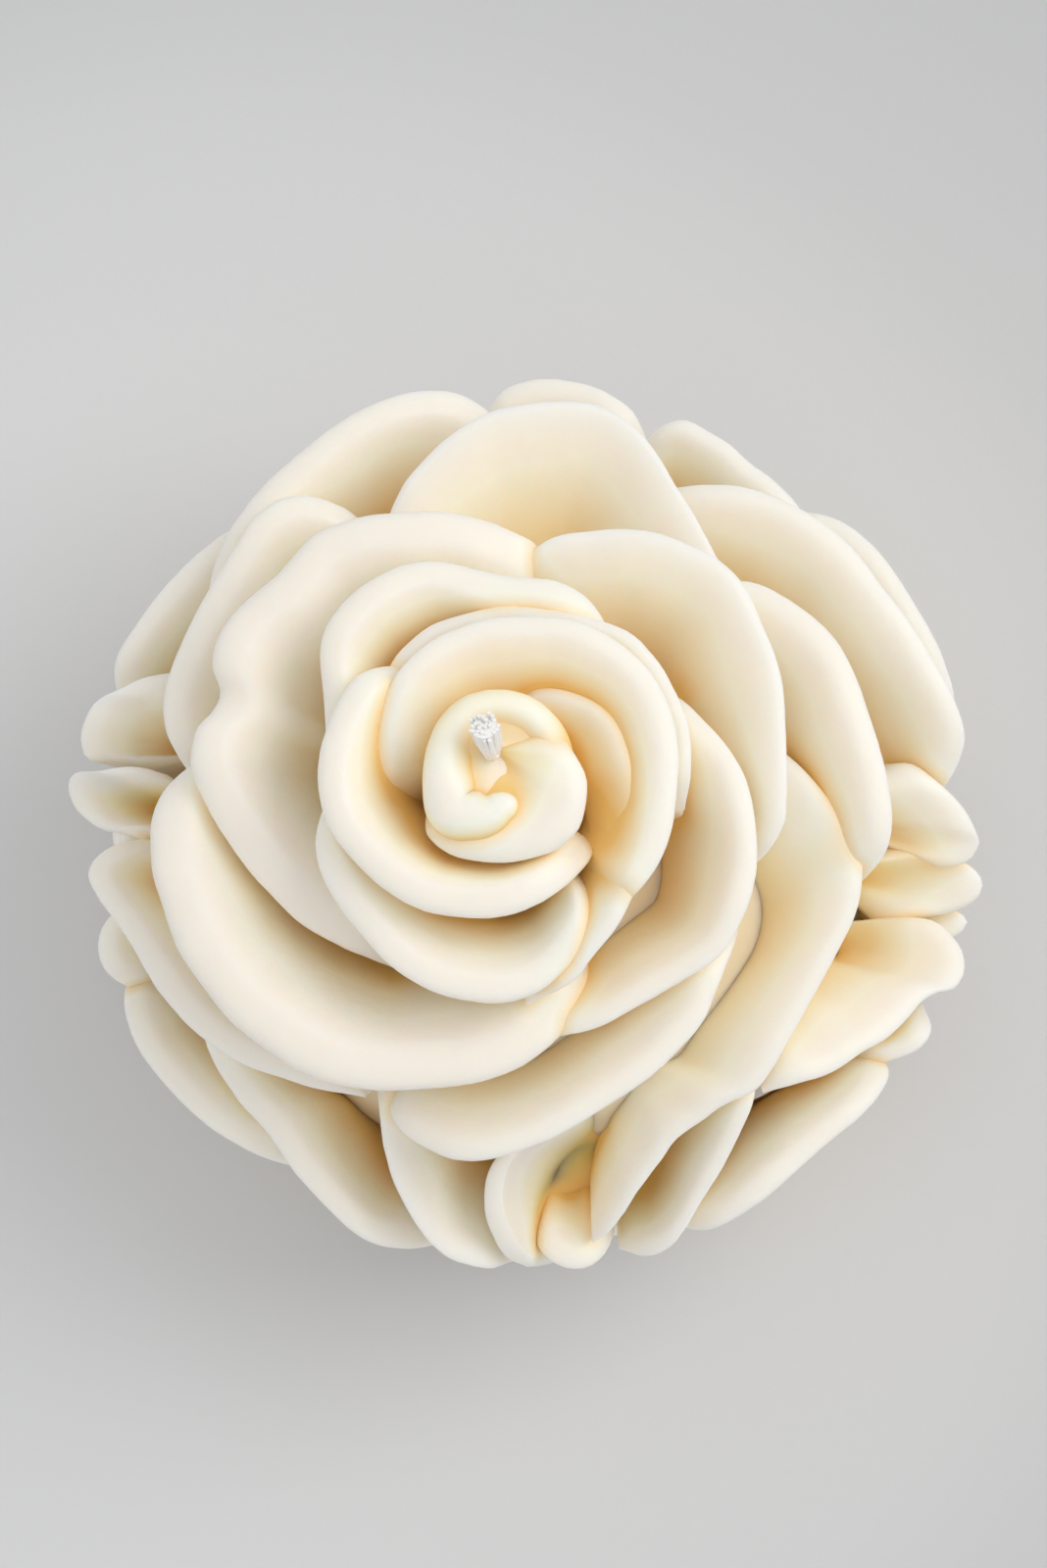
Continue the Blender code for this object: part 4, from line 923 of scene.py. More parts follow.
def add_wax(name: str, points: np.ndarray, faces: Faces, painted_shade: np.ndarray, seed: int,
            place: Matrix = CANDLE_FRAME) -> Form:
    """A wax form with the marks of hand work, and the level of its painted shade on every point.

    Args:
        name: The piece's name.
        points: Its points, one a row.
        faces: The corner numbers of each face.
        painted_shade: How deep in a crevice each point lies, from 0 to 1, which sets its painted
            shade.
        seed: Number that its marks of hand work start from.
        place: The frame that its points are in.

    Returns:
        The object.
    """
    form = add_piece(name, points, faces)
    shift = Vector([step * seed for step in SEED_STEP])
    marks = [sum(height * noise.noise(Vector(point) * rate + shift) for height, rate in WORK_MARKS)
             for point in points]
    normals = np.array([vertex.normal[:] for vertex in form.data.vertices])
    points = (points + normals * np.array(marks)[:, None]) @ np.array(place.to_3x3()).T
    points = points + np.array(place.translation)
    form.data.vertices.foreach_set("co", points.astype(np.float32).ravel())
    # The level of painted shade, which the wax's colour reads.
    mark(form, "painted_shade", painted_shade)
    form.data.update()
    return form


def mark(form: Form, name: str, values: np.ndarray) -> None:
    """Writes a value on every point of a form."""
    layer = form.data.attributes.new(name, "FLOAT", "POINT")
    layer.data.foreach_set("value", values.astype(np.float32))


def mark_seam_shade_and_joints(forms: list[Form], flush: tuple[str, str], reach: float = 0.0042,
               joint_reach: float = 0.0016, fade: float = 2.6) -> None:
    """Writes on every form how near each point lies to another form, from 0 to 1: a mask of painted
    shade in the creases, and one for joints.

    Args:
        forms: The petals and the bud.
        flush: Names of the two forms that run into each other with no crevice, which have a joint
            but no painted shade in a crease.
        reach: The distance at which the painted crease shade fades out, in metres.
        joint_reach: The distance at which the mark of a joint fades out.
        fade: Power by which the painted crease shade fades.
    """
    clouds, trees = [], []
    for form in forms:
        cloud = np.empty(len(form.data.vertices) * 3, np.float32)
        form.data.vertices.foreach_get("co", cloud)
        clouds.append(cloud.reshape(-1, 3))
        trees.append(BVHTree.FromPolygons(clouds[-1].tolist(),
                                          [face.vertices[:] for face in form.data.polygons]))
    for form, cloud in zip(forms, clouds):
        seam_shade_gaps, joints = np.full(len(cloud), reach), np.full(len(cloud), joint_reach)
        for beyond, other, tree in zip(forms, clouds, trees):
            if other is cloud:
                continue
            joined = form.name in flush and beyond.name in flush
            beside = np.all((cloud > other.min(0) - reach) & (cloud < other.max(0) + reach), axis=1)
            for index in np.flatnonzero(beside):
                gap = tree.find_nearest(cloud[index], max(seam_shade_gaps[index], joints[index]))[3]
                if gap is not None:
                    joints[index] = min(joints[index], gap)
                    seam_shade_gaps[index] = seam_shade_gaps[index] if joined else min(seam_shade_gaps[index], gap)
        # Painted shade in the creases between forms.
        mark(form, "seam", (1 - seam_shade_gaps / reach) ** fade)
        mark(form, "joint", 1 - joints / joint_reach)


def finish_piece(piece: Form, material: bpy.types.Material, node: str) -> None:
    """Gives a piece its material, and puts it in the place of its solid.

    Args:
        piece: The object.
        material: Its material.
        node: The solid that it stands for.
    """
    piece.data.materials.append(material)
    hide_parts(node)
    log.info("%s stands for %s: %d faces", piece.name, node, len(piece.data.polygons))


@dataclass
class Flower:
    """A flower of wax petals round one axis.

    Args:
        petals: Its petals, from the inside out.
        reach: Its full reach from its axis.
        height: Its full height along its axis.
        shape: The sizes that its petals' sections share.
        place: Its frame, with the axis along Z.
        prefix: What the names of its solids start with.
        turn: Turn of its inner petals about its axis, in degrees.
        turned: Names of the petals that turn.
    """

    petals: tuple[Petal, ...]
    reach: float
    height: float
    shape: PetalShape
    place: Matrix
    prefix: str = ""
    turn: float = 0.0
    turned: tuple[str, ...] = ()

    def build(self) -> list[tuple[str, Form]]:
        """Sweeps every petal.

        Returns:
            The name of each petal's solid, with the form that stands for it.
        """
        return [(self.prefix + petal.name, self.sweep(petal)) for petal in self.petals]

    def dress(self, forms: list[tuple[str, Form]], material: bpy.types.Material) -> None:
        """Gives every petal its wax.

        Args:
            forms: The name of each petal's solid, with the form that stands for it.
            material: The wax.
        """
        for node, form in forms:
            finish_piece(form, material, node)

    def polar(self, bearing: float, reach: float, height: float) -> np.ndarray:
        """A point of the flower.

        Args:
            bearing: Its bearing in degrees.
            reach: Its distance from the axis as a share of the flower's reach.
            height: Its height as a share of the flower's height.

        Returns:
            The point.
        """
        angle = math.radians(bearing)
        return np.array([reach * self.reach * math.cos(angle), reach * self.reach * math.sin(angle),
                         height * self.height])

    def sweep(self, petal: Petal) -> Form:
        """The closed form of one petal.

        Args:
            petal: The petal.

        Returns:
            The object.
        """
        shape = self.shape
        turn = self.turn if petal.name in self.turned else 0.0
        lip = np.array([self.polar(bearing + turn, reach, height)
                        for bearing, reach, height in petal.lip])
        heart = self.polar(petal.heart[0] + turn, petal.heart[1], 0)
        line = smooth_curve(lip, shape.station)
        lengths = distances(line)
        rings, painted_shades = [], []
        for point, distance in zip(line, lengths):
            nearest = min(distance, lengths[-1] - distance, shape.tip_length) / shape.tip_length
            fullness = max(shape.least_tip_share, math.sqrt(1 - (1 - nearest) ** 2))
            edge = point - shape.tip_drop * (1 - fullness) * UP
            ring, painted_shade = self.ring(petal, edge, heart, fullness)
            rings.append(ring)
            painted_shades.append(painted_shade)
        name = self.prefix + petal.name + FORM
        return add_wax(name, np.vstack(rings), capped_walls(len(rings), len(rings[0])),
                       np.concatenate(painted_shades), len(name) + len(rings), self.place)

    def ring(self, petal: Petal, edge: np.ndarray, heart: np.ndarray,
             fullness: float) -> tuple[np.ndarray, np.ndarray]:
        """The corners of one section and the level of their painted shade.

        Args:
            petal: The petal.
            edge: The lip's edge at this section.
            heart: The foot of the line that the section aims at.
            fullness: Share of the full lip.

        Returns:
            The corners, one a row, and the painted shade of each.
        """
        outward = edge - heart
        outward[2] = 0
        room = float(np.linalg.norm(outward))
        outward /= room
        root = petal.root * self.height - edge[2]
        corners, painted_shade = self.shape.section(petal, room, fullness, root)
        return edge + corners[:, :1] * outward + corners[:, 1:] * UP, painted_shade


@dataclass
class CoiledBud:
    """The roll of wax at the heart of the top rose, laid once round the wick over a shallow hollow.

    Args:
        track: Bearing in degrees, distance from the axis, half width and drop of each point of it.
        crown: Height of its ridge.
        dome: Height of its rounded back as a share of its half width.
        root: Height at which its sides end.
        foot: Reach of its foot as a share of its width.
        slope_reach: Width of its soft inner slope as a share of its half width.
        tightest: Widest inner side as a share of the radius of the roll's bend.
        slope_start: Distance from the nose at which the inner side begins to soften into a slope.
        slope_full: Distance from the nose at which the inner side is all slope.
        nose_turn: How far its nose is rounded, as a share of a quarter turn.
        ridge_painted_shade: Painted shade on its ridge.
        side_painted_shade: How much more painted shade its sides have.
        painted_shade_power: Power by which that painted shade deepens down the sides.
        floor: Height of the hollow's floor.
        floor_reach: Radius of the floor.
        floor_tilt: Rise of the floor towards the right and towards the back.
        floor_cap: Radius of the flat at the floor's middle.
        dish: Radius as a share of the floor's, rise and painted shade of each ring of the floor.
        station: Spacing of the sections along the roll.
        back_steps: Steps round its rounded back.
        nose_steps: Sections round its nose.
        floor_sides: Sides of the floor.
        seed: Number that its marks of hand work start from.
    """

    track: tuple[tuple[float, float, float, float], ...] = (
        (281, 0.00560, 0.00150, 0.0000), (270, 0.00607, 0.00195, 0.0000),
        (257, 0.00632, 0.00240, 0.0000), (238, 0.00636, 0.00290, 0.0000),
        (218, 0.00525, 0.00249, 0.0000), (195, 0.00440, 0.00213, 0.0000),
        (165, 0.00392, 0.00194, 0.0000), (136, 0.00385, 0.00185, 0.0000),
        (109.5, 0.00390, 0.00185, 0.0000), (83.5, 0.00405, 0.00180, 0.0001),
        (59, 0.00433, 0.00178, 0.0002), (37, 0.00474, 0.00178, 0.0004),
        (16, 0.00527, 0.00178, 0.0006), (-2, 0.00585, 0.00170, 0.0010),
        (-18, 0.00630, 0.00150, 0.0020), (-32, 0.00650, 0.00130, 0.0036))
    crown: float = 0.0802
    dome: float = 0.92
    root: float = 0.0640
    foot: float = 0.92
    slope_reach: float = 1.20
    tightest: float = 0.80
    slope_start: float = 0.0060
    slope_full: float = 0.0110
    nose_turn: float = 0.97
    ridge_painted_shade: float = 0.04
    side_painted_shade: float = 0.44
    painted_shade_power: int = 3
    floor: float = 0.0783
    floor_reach: float = 0.0042
    floor_tilt: tuple[float, float] = (-0.06, 0.12)
    floor_cap: float = 0.0002
    dish: tuple[tuple[float, float, float], ...] = (
        (0.00, 0.0, 0.32), (0.24, 0.0, 0.30), (0.40, 0.00005, 0.26), (0.60, 0.0001, 0.20),
        (0.80, 0.0002, 0.16), (1.00, 0.0002, 0.14), (1.10, -0.0002, 0.14), (1.18, -0.0010, 0.20))
    station: float = 0.0003
    back_steps: int = 16
    nose_steps: int = 8
    floor_sides: int = 64
    seed: int = 23

    def build(self) -> list[Form]:
        """Lays the roll, and the floor of the hollow inside it.

        Returns:
            The roll and the floor.
        """
        rings, painted_shades = zip(*self.roll_sections())
        faces = capped_walls(len(rings), len(rings[0]))
        return [add_wax("bud_heart" + FORM, np.vstack(rings), faces, np.concatenate(painted_shades),
                        self.seed),
                add_wax("bud_floor" + FORM, *self.floor_dish(), self.seed)]

    def roll_sections(self) -> list[tuple[np.ndarray, np.ndarray]]:
        """The sections of the roll, from its nose to the end that dives under the next petal.

        Returns:
            The corners of each section, one a row, and the painted shade of each corner.
        """
        bearings, reaches, halves, drops = np.array(self.track).T
        angles = np.radians(bearings)
        centres = np.column_stack([reaches * np.cos(angles), reaches * np.sin(angles),
                                   self.crown - drops])
        line = smooth_curve(centres, self.station)
        shares = np.linspace(0, 1, len(line))
        marks = distances(centres)
        widths = np.interp(shares, marks / marks[-1], halves)
        slopes = np.interp(shares * marks[-1], [self.slope_start, self.slope_full], [0.0, 1.0])
        onwards = np.gradient(line, axis=0)
        heading = np.unwrap(np.arctan2(onwards[:, 1], onwards[:, 0]))
        bends = evened(np.abs(np.gradient(heading)) / np.linalg.norm(onwards[:, :2], axis=1))
        inners = evened(np.minimum(widths * (1 + (self.slope_reach - 1) * slopes),
                                   self.tightest / np.maximum(bends, 1.0)))

        ahead = (line[0] - line[1]) / np.linalg.norm(line[0] - line[1])
        sections = []
        for step in range(self.nose_steps, 0, -1):
            turn = self.nose_turn * math.pi / 2 * step / self.nose_steps
            half = widths[0] * math.cos(turn)
            crest = line[0] + ahead * widths[0] * math.sin(turn)
            sections.append(self.section(crest, ahead, widths[0], half, half, 0.0))
        for point, onward, width, inner, slope in zip(line, onwards, widths, inners, slopes):
            sections.append(self.section(point, -onward, width, width, inner, slope))
        return sections

    def section(self, crest: np.ndarray, ahead: np.ndarray, full: float, half: float, inner: float,
                slope: float) -> tuple[np.ndarray, np.ndarray]:
        """The corners of one section across the roll, and their painted shade.

        Args:
            crest: The top of the full section.
            ahead: The way towards the nose.
            full: Half width of the full section.
            half: Half width of this section, less than the full one round the nose.
            inner: Width of its inner side.
            slope: Share of the soft slope in its inner side, from 0 to 1.

        Returns:
            The corners, one a row, and the painted shade of each.
        """
        side = np.array([-ahead[1], ahead[0], 0.0])
        side /= np.linalg.norm(side)
        bend = np.linspace(-math.pi / 2, math.pi / 2, self.back_steps + 1)
        inside = np.clip(np.sin(bend), 0, 1)
        across = np.sin(bend) * np.where(inside > 0, inner, half)
        dome = self.dome * (full - half * np.cos(bend))
        bell = (self.crown - self.floor) * (1 - np.cos(math.pi * inside)) / 2
        corners = crest + across[:, None] * side
        corners[:, 2] = crest[2] - np.where(inside > 0, (1 - slope) * dome + slope * bell, dome)
        feet = crest + np.array([[self.foot * inner], [-self.foot * half]]) * side
        feet[:, 2] = self.root
        # Painted shade, deepening down the sides of the roll and full at its feet.
        painted_shade = self.ridge_painted_shade + self.side_painted_shade * np.abs(np.sin(bend)) ** self.painted_shade_power
        return np.vstack([corners, feet]), np.concatenate([painted_shade, [1.0, 1.0]])

    def floor_dish(self) -> tuple[np.ndarray, Faces, np.ndarray]:
        """The floor of the hollow, a low dish of wax round the wick.

        Returns:
            Its points, one a row, its faces, and the painted shade of each point.
        """
        profile = [(max(share * self.floor_reach, self.floor_cap), self.floor + rise)
                   for share, rise, _ in self.dish]
        profile += [(profile[-1][0], self.root), (self.floor_cap, self.root)]
        points = turned_rings(profile, self.floor_sides)
        points[:, 2] += points[:, :2] @ np.array(self.floor_tilt)
        # Painted shade in the hollow, given ring by ring, full on the hidden underside.
        painted_shade = np.repeat([*(ring[2] for ring in self.dish), 1.0, 1.0], self.floor_sides)
        return points, capped_walls(len(profile), self.floor_sides), painted_shade


class TopRose(Flower):
    """The large open rose that fills the top."""

    def __init__(self, reach: float, height: float, shape: PetalShape) -> None:
        """Lays out the bud and the petals round it.

        Args:
            reach: The candle's reach.
            height: The candle's height.
            shape: The sizes that its petals' sections share.
        """
        super().__init__(TOP_ROSE_PETALS, reach, height, shape, CANDLE_FRAME)
        self.bud = CoiledBud()

    def build(self) -> list[tuple[str, Form]]:
        """Rolls the bud and sweeps every petal round it.

        Returns:
            The name of each petal's solid, with the form that stands for it.
        """
        return [("bud_heart", form) for form in self.bud.build()] + super().build()


class ShoulderRing(Flower):
    """The petals round the shoulder, between the side roses and as one skirt over each of these."""

    def __init__(self, reach: float, height: float, shape: PetalShape) -> None:
        """Lays out the petals of the shoulder.

        Args:
            reach: The candle's reach.
            height: The candle's height.
            shape: The sizes that its petals' sections share.
        """
        super().__init__(SHOULDER_PETALS + SKIRT_PETALS, reach, height, shape, CANDLE_FRAME)


@dataclass(frozen=True)
class SideRosePlace:
    """Where a side rose sits.

    Args:
        name: What the names of its solids start with.
        bearing: Bearing of its axis in degrees.
        turn: Turn of its inner petals in degrees.
        share: Share of the full reach.
    """

    name: str
    bearing: float
    turn: float
    share: float


SIDE_ROSES = (
    SideRosePlace("right", 352, 10, 0.98), SideRosePlace("back", 84, -35, 1.0),
    SideRosePlace("left", 180, 20, 1.0), SideRosePlace("front", 267, 0, 0.97),
)


class SideRose(Flower):
    """A rose that faces out from the side."""

    def __init__(self, where: SideRosePlace, shape: PetalShape, height: float = 0.021,
                 radius: float = 0.0225, reach: float = 0.0445) -> None:
        """Lays out the four petals that turn about the axis of a side rose.

        Args:
            where: Its place.
            shape: The sizes that its petals' sections share.
            height: Height of its axis above the table.
            radius: Its full radius.
            reach: Distance from the candle's axis to its front.
        """
        angle = math.radians(where.bearing)
        outward = Vector((math.cos(angle), math.sin(angle), 0))
        up = Vector((0, 0, 1))
        facing = Matrix((up.cross(outward), up, outward)).transposed().to_4x4()
        place = Matrix.Translation((0, 0, height)) @ facing
        super().__init__(SIDE_ROSE_PETALS, radius, reach * where.share, shape, place,
                         where.name + "_rose_", where.turn, ("bud", "inner_petal", "middle_petal"))


@dataclass
class WaxCore:
    """The solid middle, bored for the wick and recessed for the tab.

    Args:
        radius: Its full radius.
        height: Its height.
        foot: Radius of its foot.
        chamfer: Width of the rounded chamfer there.
        chamfer_bend: Where the chamfer bends, as a share of its width.
        bore: Radius of the wick's bore.
        neck: Radius of the wider bore round the tab's neck.
        neck_top: Height at which that bore ends.
        recess: Radius of the tab's recess.
        recess_top: Height at which the recess ends.
        outline: Radius and height of each ring above the foot, as shares of the full ones.
        sides: How many sides it has.
    """

    radius: float = 0.0345
    height: float = 0.058
    foot: float = 0.0305
    chamfer: float = 0.0008
    chamfer_bend: float = 0.3
    bore: float = 0.0014
    neck: float = 0.0021
    neck_top: float = 0.0067
    recess: float = 0.0083
    recess_top: float = 0.0007
    outline: tuple[tuple[float, float], ...] = (
        (0.96, 0.12), (0.985, 0.20), (1.00, 0.30), (1.00, 0.44), (0.99, 0.56), (0.955, 0.67),
        (0.90, 0.76), (0.81, 0.84), (0.70, 0.90), (0.55, 0.95), (0.40, 0.98), (0.24, 1.00))
    sides: int = 96

    def build(self) -> Form:
        """Turns the core.

        Returns:
            The core.
        """
        bend = self.chamfer_bend * self.chamfer
        profile = [(self.foot - self.chamfer, 0.0), (self.foot - bend, bend),
                   (self.foot, self.chamfer)]
        profile += [(radius * self.radius, height * self.height) for radius, height in self.outline]
        profile += [(self.bore, self.height), (self.bore, self.neck_top),
                    (self.neck, self.neck_top), (self.neck, self.recess_top),
                    (self.recess, self.recess_top), (self.recess, 0.0)]
        return add_piece("wax_core" + FORM, turned_rings(profile, self.sides),
                         ring_walls(len(profile), self.sides, closed=True))

    def dress(self, form: Form, material: bpy.types.Material) -> None:
        """Gives the core its wax."""
        finish_piece(form, material, "wax_core")


@dataclass
class WickTab:
    """The pressed tin disc under the core, with the neck that grips the wick.

    Args:
        radius: Radius of the disc.
        thickness: Its thickness.
        grip: Inner radius of the neck.
        wall: Thickness of the neck's wall.
        neck: Height of the neck above the disc.
        rounding: Rounding of the edges.
        shoulder: Rounding under the neck.
        cap: Radius of the flat in the middle of the disc.
        sides: How many sides it has.
    """

    radius: float = 0.0080
    thickness: float = 0.0004
    grip: float = 0.0014
    wall: float = 0.0004
    neck: float = 0.0060
    rounding: float = 0.0001
    shoulder: float = 0.0003
    cap: float = 0.0004
    sides: int = 96

    def build(self) -> Form:
        """Turns the tab, with a rounded edge and a rounded shoulder under the neck.

        Returns:
            The tab.
        """
        disc, edge = self.thickness, self.radius - self.rounding
        out, top = self.grip + self.wall, disc + self.neck
        brim = top - self.rounding
        profile = [(self.cap, 0.0), (edge, 0.0), (self.radius, disc / 2), (edge, disc),
                   (out + self.shoulder, disc), (out, disc + self.shoulder), (out, brim),
                   (out - self.wall / 2, top), (self.grip, brim), (self.grip, disc),
                   (self.cap, disc)]
        return add_piece("wick_tab" + FORM, turned_rings(profile, self.sides),
                         capped_walls(len(profile), self.sides))

    def dress(self, form: Form, material: bpy.types.Material) -> None:
        """Gives the tab its tinplate."""
        finish_piece(form, material, "wick_tab")


@dataclass
class Wick:
    """The plaited cotton wick, from the tab to its trimmed and frayed end.

    Args:
        radius: Its radius.
        foot: Height of its lower end.
        stub: Height at which it is trimmed.
        top: Height of the frayed fibres.
        strands: How many strands are laid round one another.
        plait: Height of one turn of a strand.
        strand_reach: Distance of a strand from the axis as a share of the radius.
        strand_width: Radius of a strand as a share of the radius.
        strand_step: Spacing of the sections along a strand.
        strand_sides: Sides of a strand.
        lean: How far the frayed end leans towards the right and towards the back.
        heart: Share of the lean and height over the trimmed end of each point of the solid middle
            of the frayed end.
        heart_width: Radius of that middle at its foot and its top, as shares of the radius.
        heart_sides: Its sides.
        fibres: How many fibres the frayed end has.
        root: How deep below the trimmed end the fibres start.
        spread: Reach of their feet as a share of the radius.
        fan: How far they fan out towards the right and towards the back.
        uneven: How much their lean changes from one to the next, and how fast.
        trim: Share of the height that they reach, how much it changes and how fast.
        bow: How far they bow away from the lean, as a share of it.
        lift: How far the bow lifts them.
        fibre_width: Radius of a fibre at its foot and its tip.
        fibre_step: Spacing of the sections along the fibres and the middle.
        fibre_sides: Sides of a fibre.
    """

    radius: float = 0.0011
    foot: float = 0.0007
    stub: float = 0.0796
    top: float = 0.0836
    strands: int = 3
    plait: float = 0.0052
    strand_reach: float = 0.45
    strand_width: float = 0.52
    strand_step: float = 0.0009
    strand_sides: int = 8
    lean: tuple[float, float] = (-0.0003, 0.0013)
    heart: tuple[tuple[float, float], ...] = ((0.0, -0.0022), (0.3, 0.0), (0.95, 0.0036))
    heart_width: tuple[float, float] = (0.80, 1.05)
    heart_sides: int = 12
    fibres: int = 46
    root: float = 0.0022
    spread: float = 0.72
    fan: tuple[float, float] = (0.0006, 0.0004)
    uneven: tuple[float, float] = (0.16, 3.1)
    trim: tuple[float, float, float] = (0.95, 0.04, 1.7)
    bow: float = 0.25
    lift: float = 0.0003
    fibre_width: tuple[float, float] = (0.00030, 0.00022)
    fibre_step: float = 0.0005
    fibre_sides: int = 5

    def build(self) -> Form:
        """Lays the strands round one another, with a brush of fibres at the trimmed end.

        Returns:
            The wick.
        """
        points, faces = [], []
        heights = np.arange(self.foot, self.stub, self.strand_step)
        reach = self.strand_reach * self.radius
        for strand in range(self.strands):
            angle = 2 * math.pi * strand / self.strands + 2 * math.pi * heights / self.plait
            path = np.column_stack([reach * np.cos(angle), reach * np.sin(angle), heights])
            radii = np.full(len(path), self.strand_width * self.radius)
            self.add_tube(points, faces, path, radii, self.strand_sides)
        middle = [[share * self.lean[0], share * self.lean[1], self.stub + rise]
                  for share, rise in self.heart]
        path = smooth_curve(np.array(middle), self.fibre_step)
        radii = self.radius * np.linspace(*self.heart_width, len(path))
        self.add_tube(points, faces, path, radii, self.heart_sides)
        for fibre in range(self.fibres):
            self.add_tube(points, faces, *self.fibre_path(fibre), self.fibre_sides)
        return add_piece("wick" + FORM, np.vstack(points), faces)

    def fibre_path(self, fibre: int) -> tuple[np.ndarray, np.ndarray]:
        """The path and radii of one fibre of the frayed end, which fans out as it leans.

        Args:
            fibre: Its number.

        Returns:
            The points of its path, one a row, and its radius at each.
        """
        bearing = GOLDEN_ANGLE * fibre
        out = np.array([math.cos(bearing), math.sin(bearing)])
        out *= math.sqrt((fibre + 0.5) / self.fibres)
        base = np.append(self.spread * self.radius * out, self.stub - self.root)
        change, rate = self.uneven
        lean = np.array(self.lean)
        across = lean * (1 + change * math.sin(rate * fibre)) + np.array(self.fan) * out
        share, change, rate = self.trim
        rise = (self.top - self.stub + self.root) * (share + change * math.sin(rate * fibre + 1))
        tip = base + np.append(across, rise)
        middle = (base + tip) / 2 + np.append(-self.bow * lean, self.lift)
        path = smooth_curve(np.array([base, middle, tip]), self.fibre_step)
        return path, np.linspace(*self.fibre_width, len(path))

    @staticmethod
    def add_tube(points: list[np.ndarray], faces: Faces, path: np.ndarray, radii: np.ndarray,
                 sides: int) -> None:
        """Adds a closed tube along a path to a mesh under construction.

        Args:
            points: The mesh's points so far.
            faces: Its faces so far.
            path: The points of the path, one a row.
            radii: The tube's radius at each.
            sides: How many sides the tube has.
        """
        first = sum(len(block) for block in points)
        along = np.gradient(path, axis=0)
        along /= np.linalg.norm(along, axis=1)[:, None]
        side = np.cross(along, [0.0, 1.0, 0.1])
        side /= np.linalg.norm(side, axis=1)[:, None]
        other = np.cross(along, side)
        angles = np.linspace(0, 2 * math.pi, sides, endpoint=False)[None, :, None]
        spokes = side[:, None] * np.cos(angles) + other[:, None] * np.sin(angles)
        points.append((path[:, None] + radii[:, None, None] * spokes).reshape(-1, 3))
        faces += [tuple(first + corner for corner in face)
                  for face in capped_walls(len(path), sides)]

    def dress(self, form: Form, material: bpy.types.Material) -> None:
        """Gives the wick its cotton."""
        finish_piece(form, material, "wick")


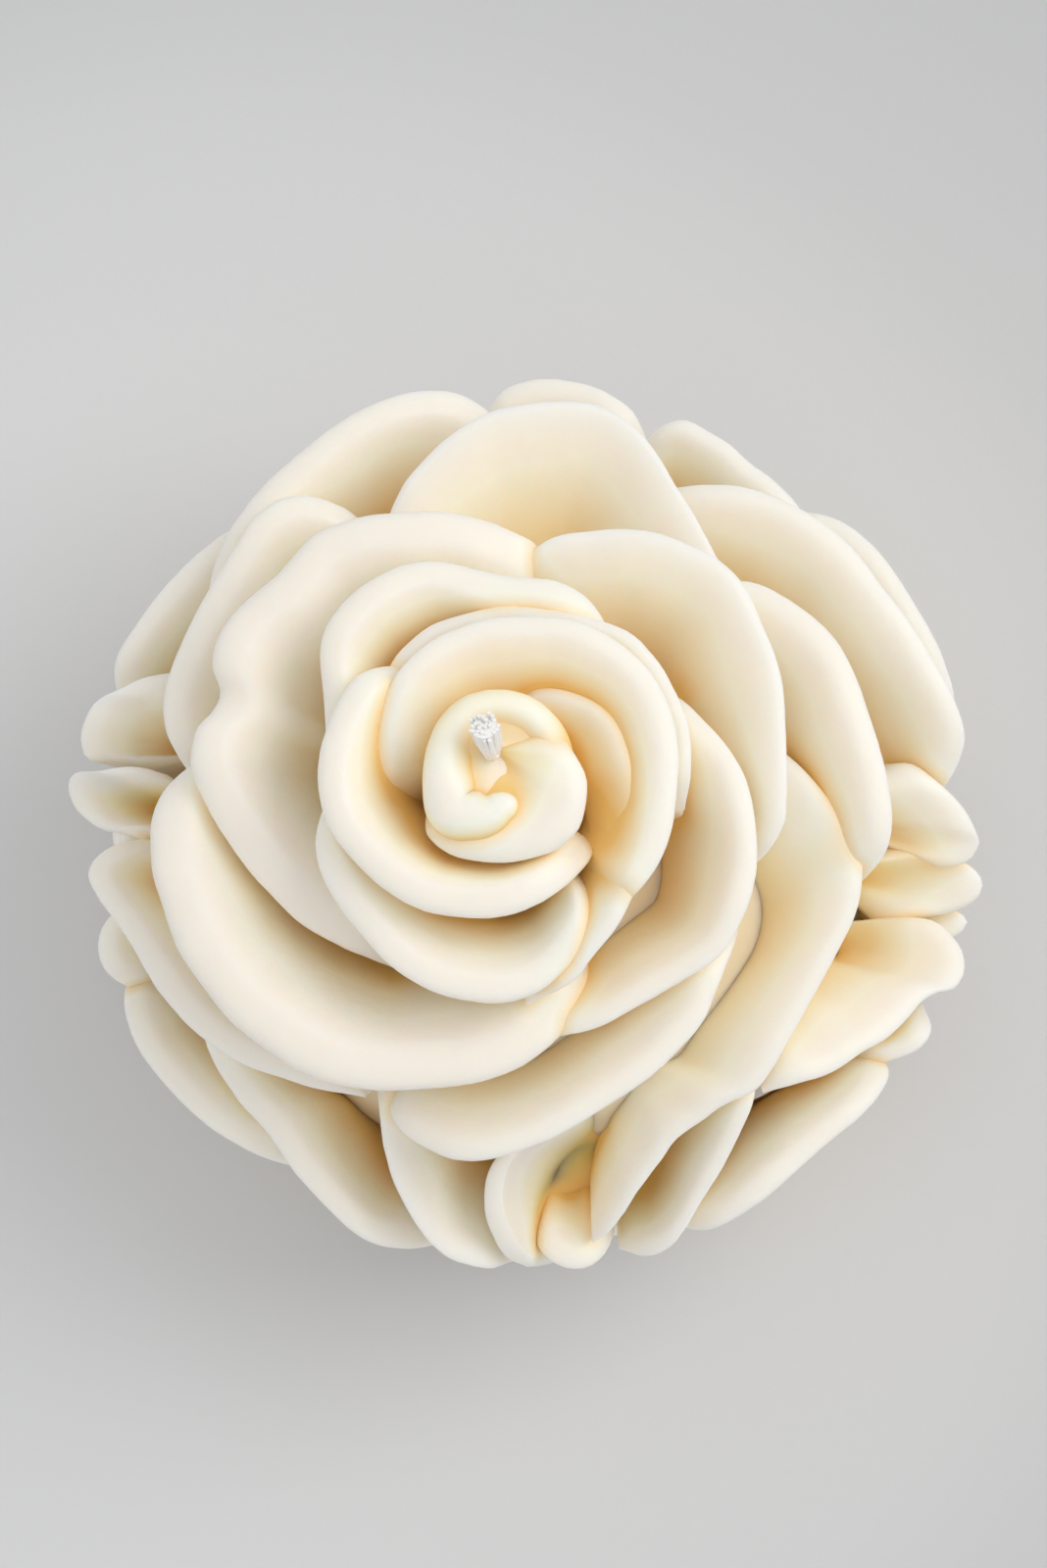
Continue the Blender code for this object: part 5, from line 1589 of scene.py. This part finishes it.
@dataclass
class Studio:
    """The floor, the lights and the camera.

    Args:
        azimuth: Bearing of the camera in degrees, from the front towards the right.
        elevation: Its height over the table's plane in degrees.
        distance: Its distance from the aim.
        aim: The point that it looks at.
        lens: Its focal length in millimetres.
        sensor: Width of its sensor in millimetres.
        floor_size: Side of the floor.
        room_colour: Colour of the light that comes from all round.
        room_light: Its strength.
        lamp_place: Where the lamp hangs.
        lamp_aim: The point that the lamp faces.
        lamp_size: Its side.
        lamp_power: Its power in watts.
        lamp_colour: Its colour.
    """

    azimuth: float = 23.4
    elevation: float = 79.0
    distance: float = 0.449
    aim: tuple[float, float, float] = (0.00005, 0.00354, 0.040)
    lens: float = 100.0
    sensor: float = 36.0
    floor_size: float = 3.0
    room_colour: Colour = (0.97, 0.985, 1.0)
    room_light: float = 0.80
    lamp_place: tuple[float, float, float] = (0.60, 0.16, 0.80)
    lamp_aim: tuple[float, float, float] = (0.0, 0.0, 0.04)
    lamp_size: float = 0.55
    lamp_power: float = 3.3
    lamp_colour: Colour = (1.0, 0.975, 0.93)

    def build(self) -> bpy.types.Object:
        """Lays the floor, and sets up the camera and the lights.

        Returns:
            The floor.
        """
        half = self.floor_size / 2
        corners = [(-half, -half, 0), (half, -half, 0), (half, half, 0), (-half, half, 0)]
        mesh = bpy.data.meshes.new("studio_floor")
        mesh.from_pydata(corners, [], [(0, 1, 2, 3)])
        floor = bpy.data.objects.new("studio_floor", mesh)
        bpy.context.scene.collection.objects.link(floor)
        self.place_camera()
        self.light_room()
        self.hang_lamp()
        return floor

    def dress(self, floor: bpy.types.Object, material: bpy.types.Material) -> None:
        """Gives the floor its paper."""
        floor.data.materials.append(material)

    def place_camera(self) -> None:
        """Looks down on the rose from the photograph's side."""
        azimuth, elevation = math.radians(self.azimuth), math.radians(self.elevation)
        back = Vector((math.sin(azimuth) * math.cos(elevation),
                       -math.cos(azimuth) * math.cos(elevation), math.sin(elevation)))
        right = Vector((0, 1, 0)).cross(back).normalized()
        facing = Matrix((right, back.cross(right), back)).transposed().to_4x4()
        data = bpy.data.cameras.new("camera")
        data.lens = self.lens
        data.sensor_width = self.sensor
        camera = bpy.data.objects.new("camera", data)
        camera.matrix_world = Matrix.Translation(Vector(self.aim) + back * self.distance) @ facing
        bpy.context.scene.collection.objects.link(camera)
        bpy.context.scene.camera = camera

    def light_room(self) -> None:
        """A pale room, whose light comes from all round."""
        world = bpy.data.worlds.new("room")
        world.use_nodes = True
        sky = world.node_tree.nodes["Background"]
        sky.inputs["Color"].default_value = (*self.room_colour, 1.0)
        sky.inputs["Strength"].default_value = self.room_light
        bpy.context.scene.world = world

    def hang_lamp(self) -> None:
        """One broad soft lamp high at the right."""
        data = bpy.data.lights.new("key_lamp", "AREA")
        data.size = self.lamp_size
        data.energy = self.lamp_power
        data.color = self.lamp_colour
        lamp = bpy.data.objects.new("key_lamp", data)
        facing = (Vector(self.lamp_aim) - Vector(self.lamp_place)).to_track_quat("-Z", "Y")
        lamp.matrix_world = Matrix.Translation(self.lamp_place) @ facing.to_matrix().to_4x4()
        bpy.context.scene.collection.objects.link(lamp)


def main() -> None:
    """Builds the candle from the inside out, then the studio."""
    logging.basicConfig(level=logging.INFO, format="%(name)s: %(message)s")
    bpy.context.scene.view_settings.view_transform = "Standard"
    ivory = WaxFinish().material("ivory_wax_painted_shade")
    # The core shows only deep in the gaps, so its wax is painted darker and more golden than the
    # petals' as painted shade.
    core_wax = WaxFinish(pale=(0.86, 0.73, 0.53), painted_light_cream=(0.84, 0.69, 0.46),
                         warm=(0.81, 0.63, 0.38), painted_shade_amber=(0.71, 0.47, 0.20))

    core = WaxCore()
    core.dress(core.build(), core_wax.material("core_wax_painted_shade"))
    tab = WickTab()
    tab.dress(tab.build(), TinFinish().material("tinplate_finish"))
    wick = Wick()
    wick.dress(wick.build(), CottonFinish().material("cotton_finish"))

    shape = PetalShape()
    flowers = [TopRose(BLOOM_REACH, BLOOM_HEIGHT, shape),
               ShoulderRing(BLOOM_REACH, BLOOM_HEIGHT, shape),
               *(SideRose(where, shape) for where in SIDE_ROSES)]
    forms = []
    for flower in flowers:
        grown = flower.build()
        flower.dress(grown, ivory)
        forms += [form for _, form in grown]
    mark_seam_shade_and_joints(forms, ("bud_floor" + FORM, "bud_wrap" + FORM))

    studio = Studio()
    studio.dress(studio.build(), BackdropFinish().material("backdrop_paper_painted_light_pool"))

    log.info("sizes written")


if __name__ == "__main__":
    main()
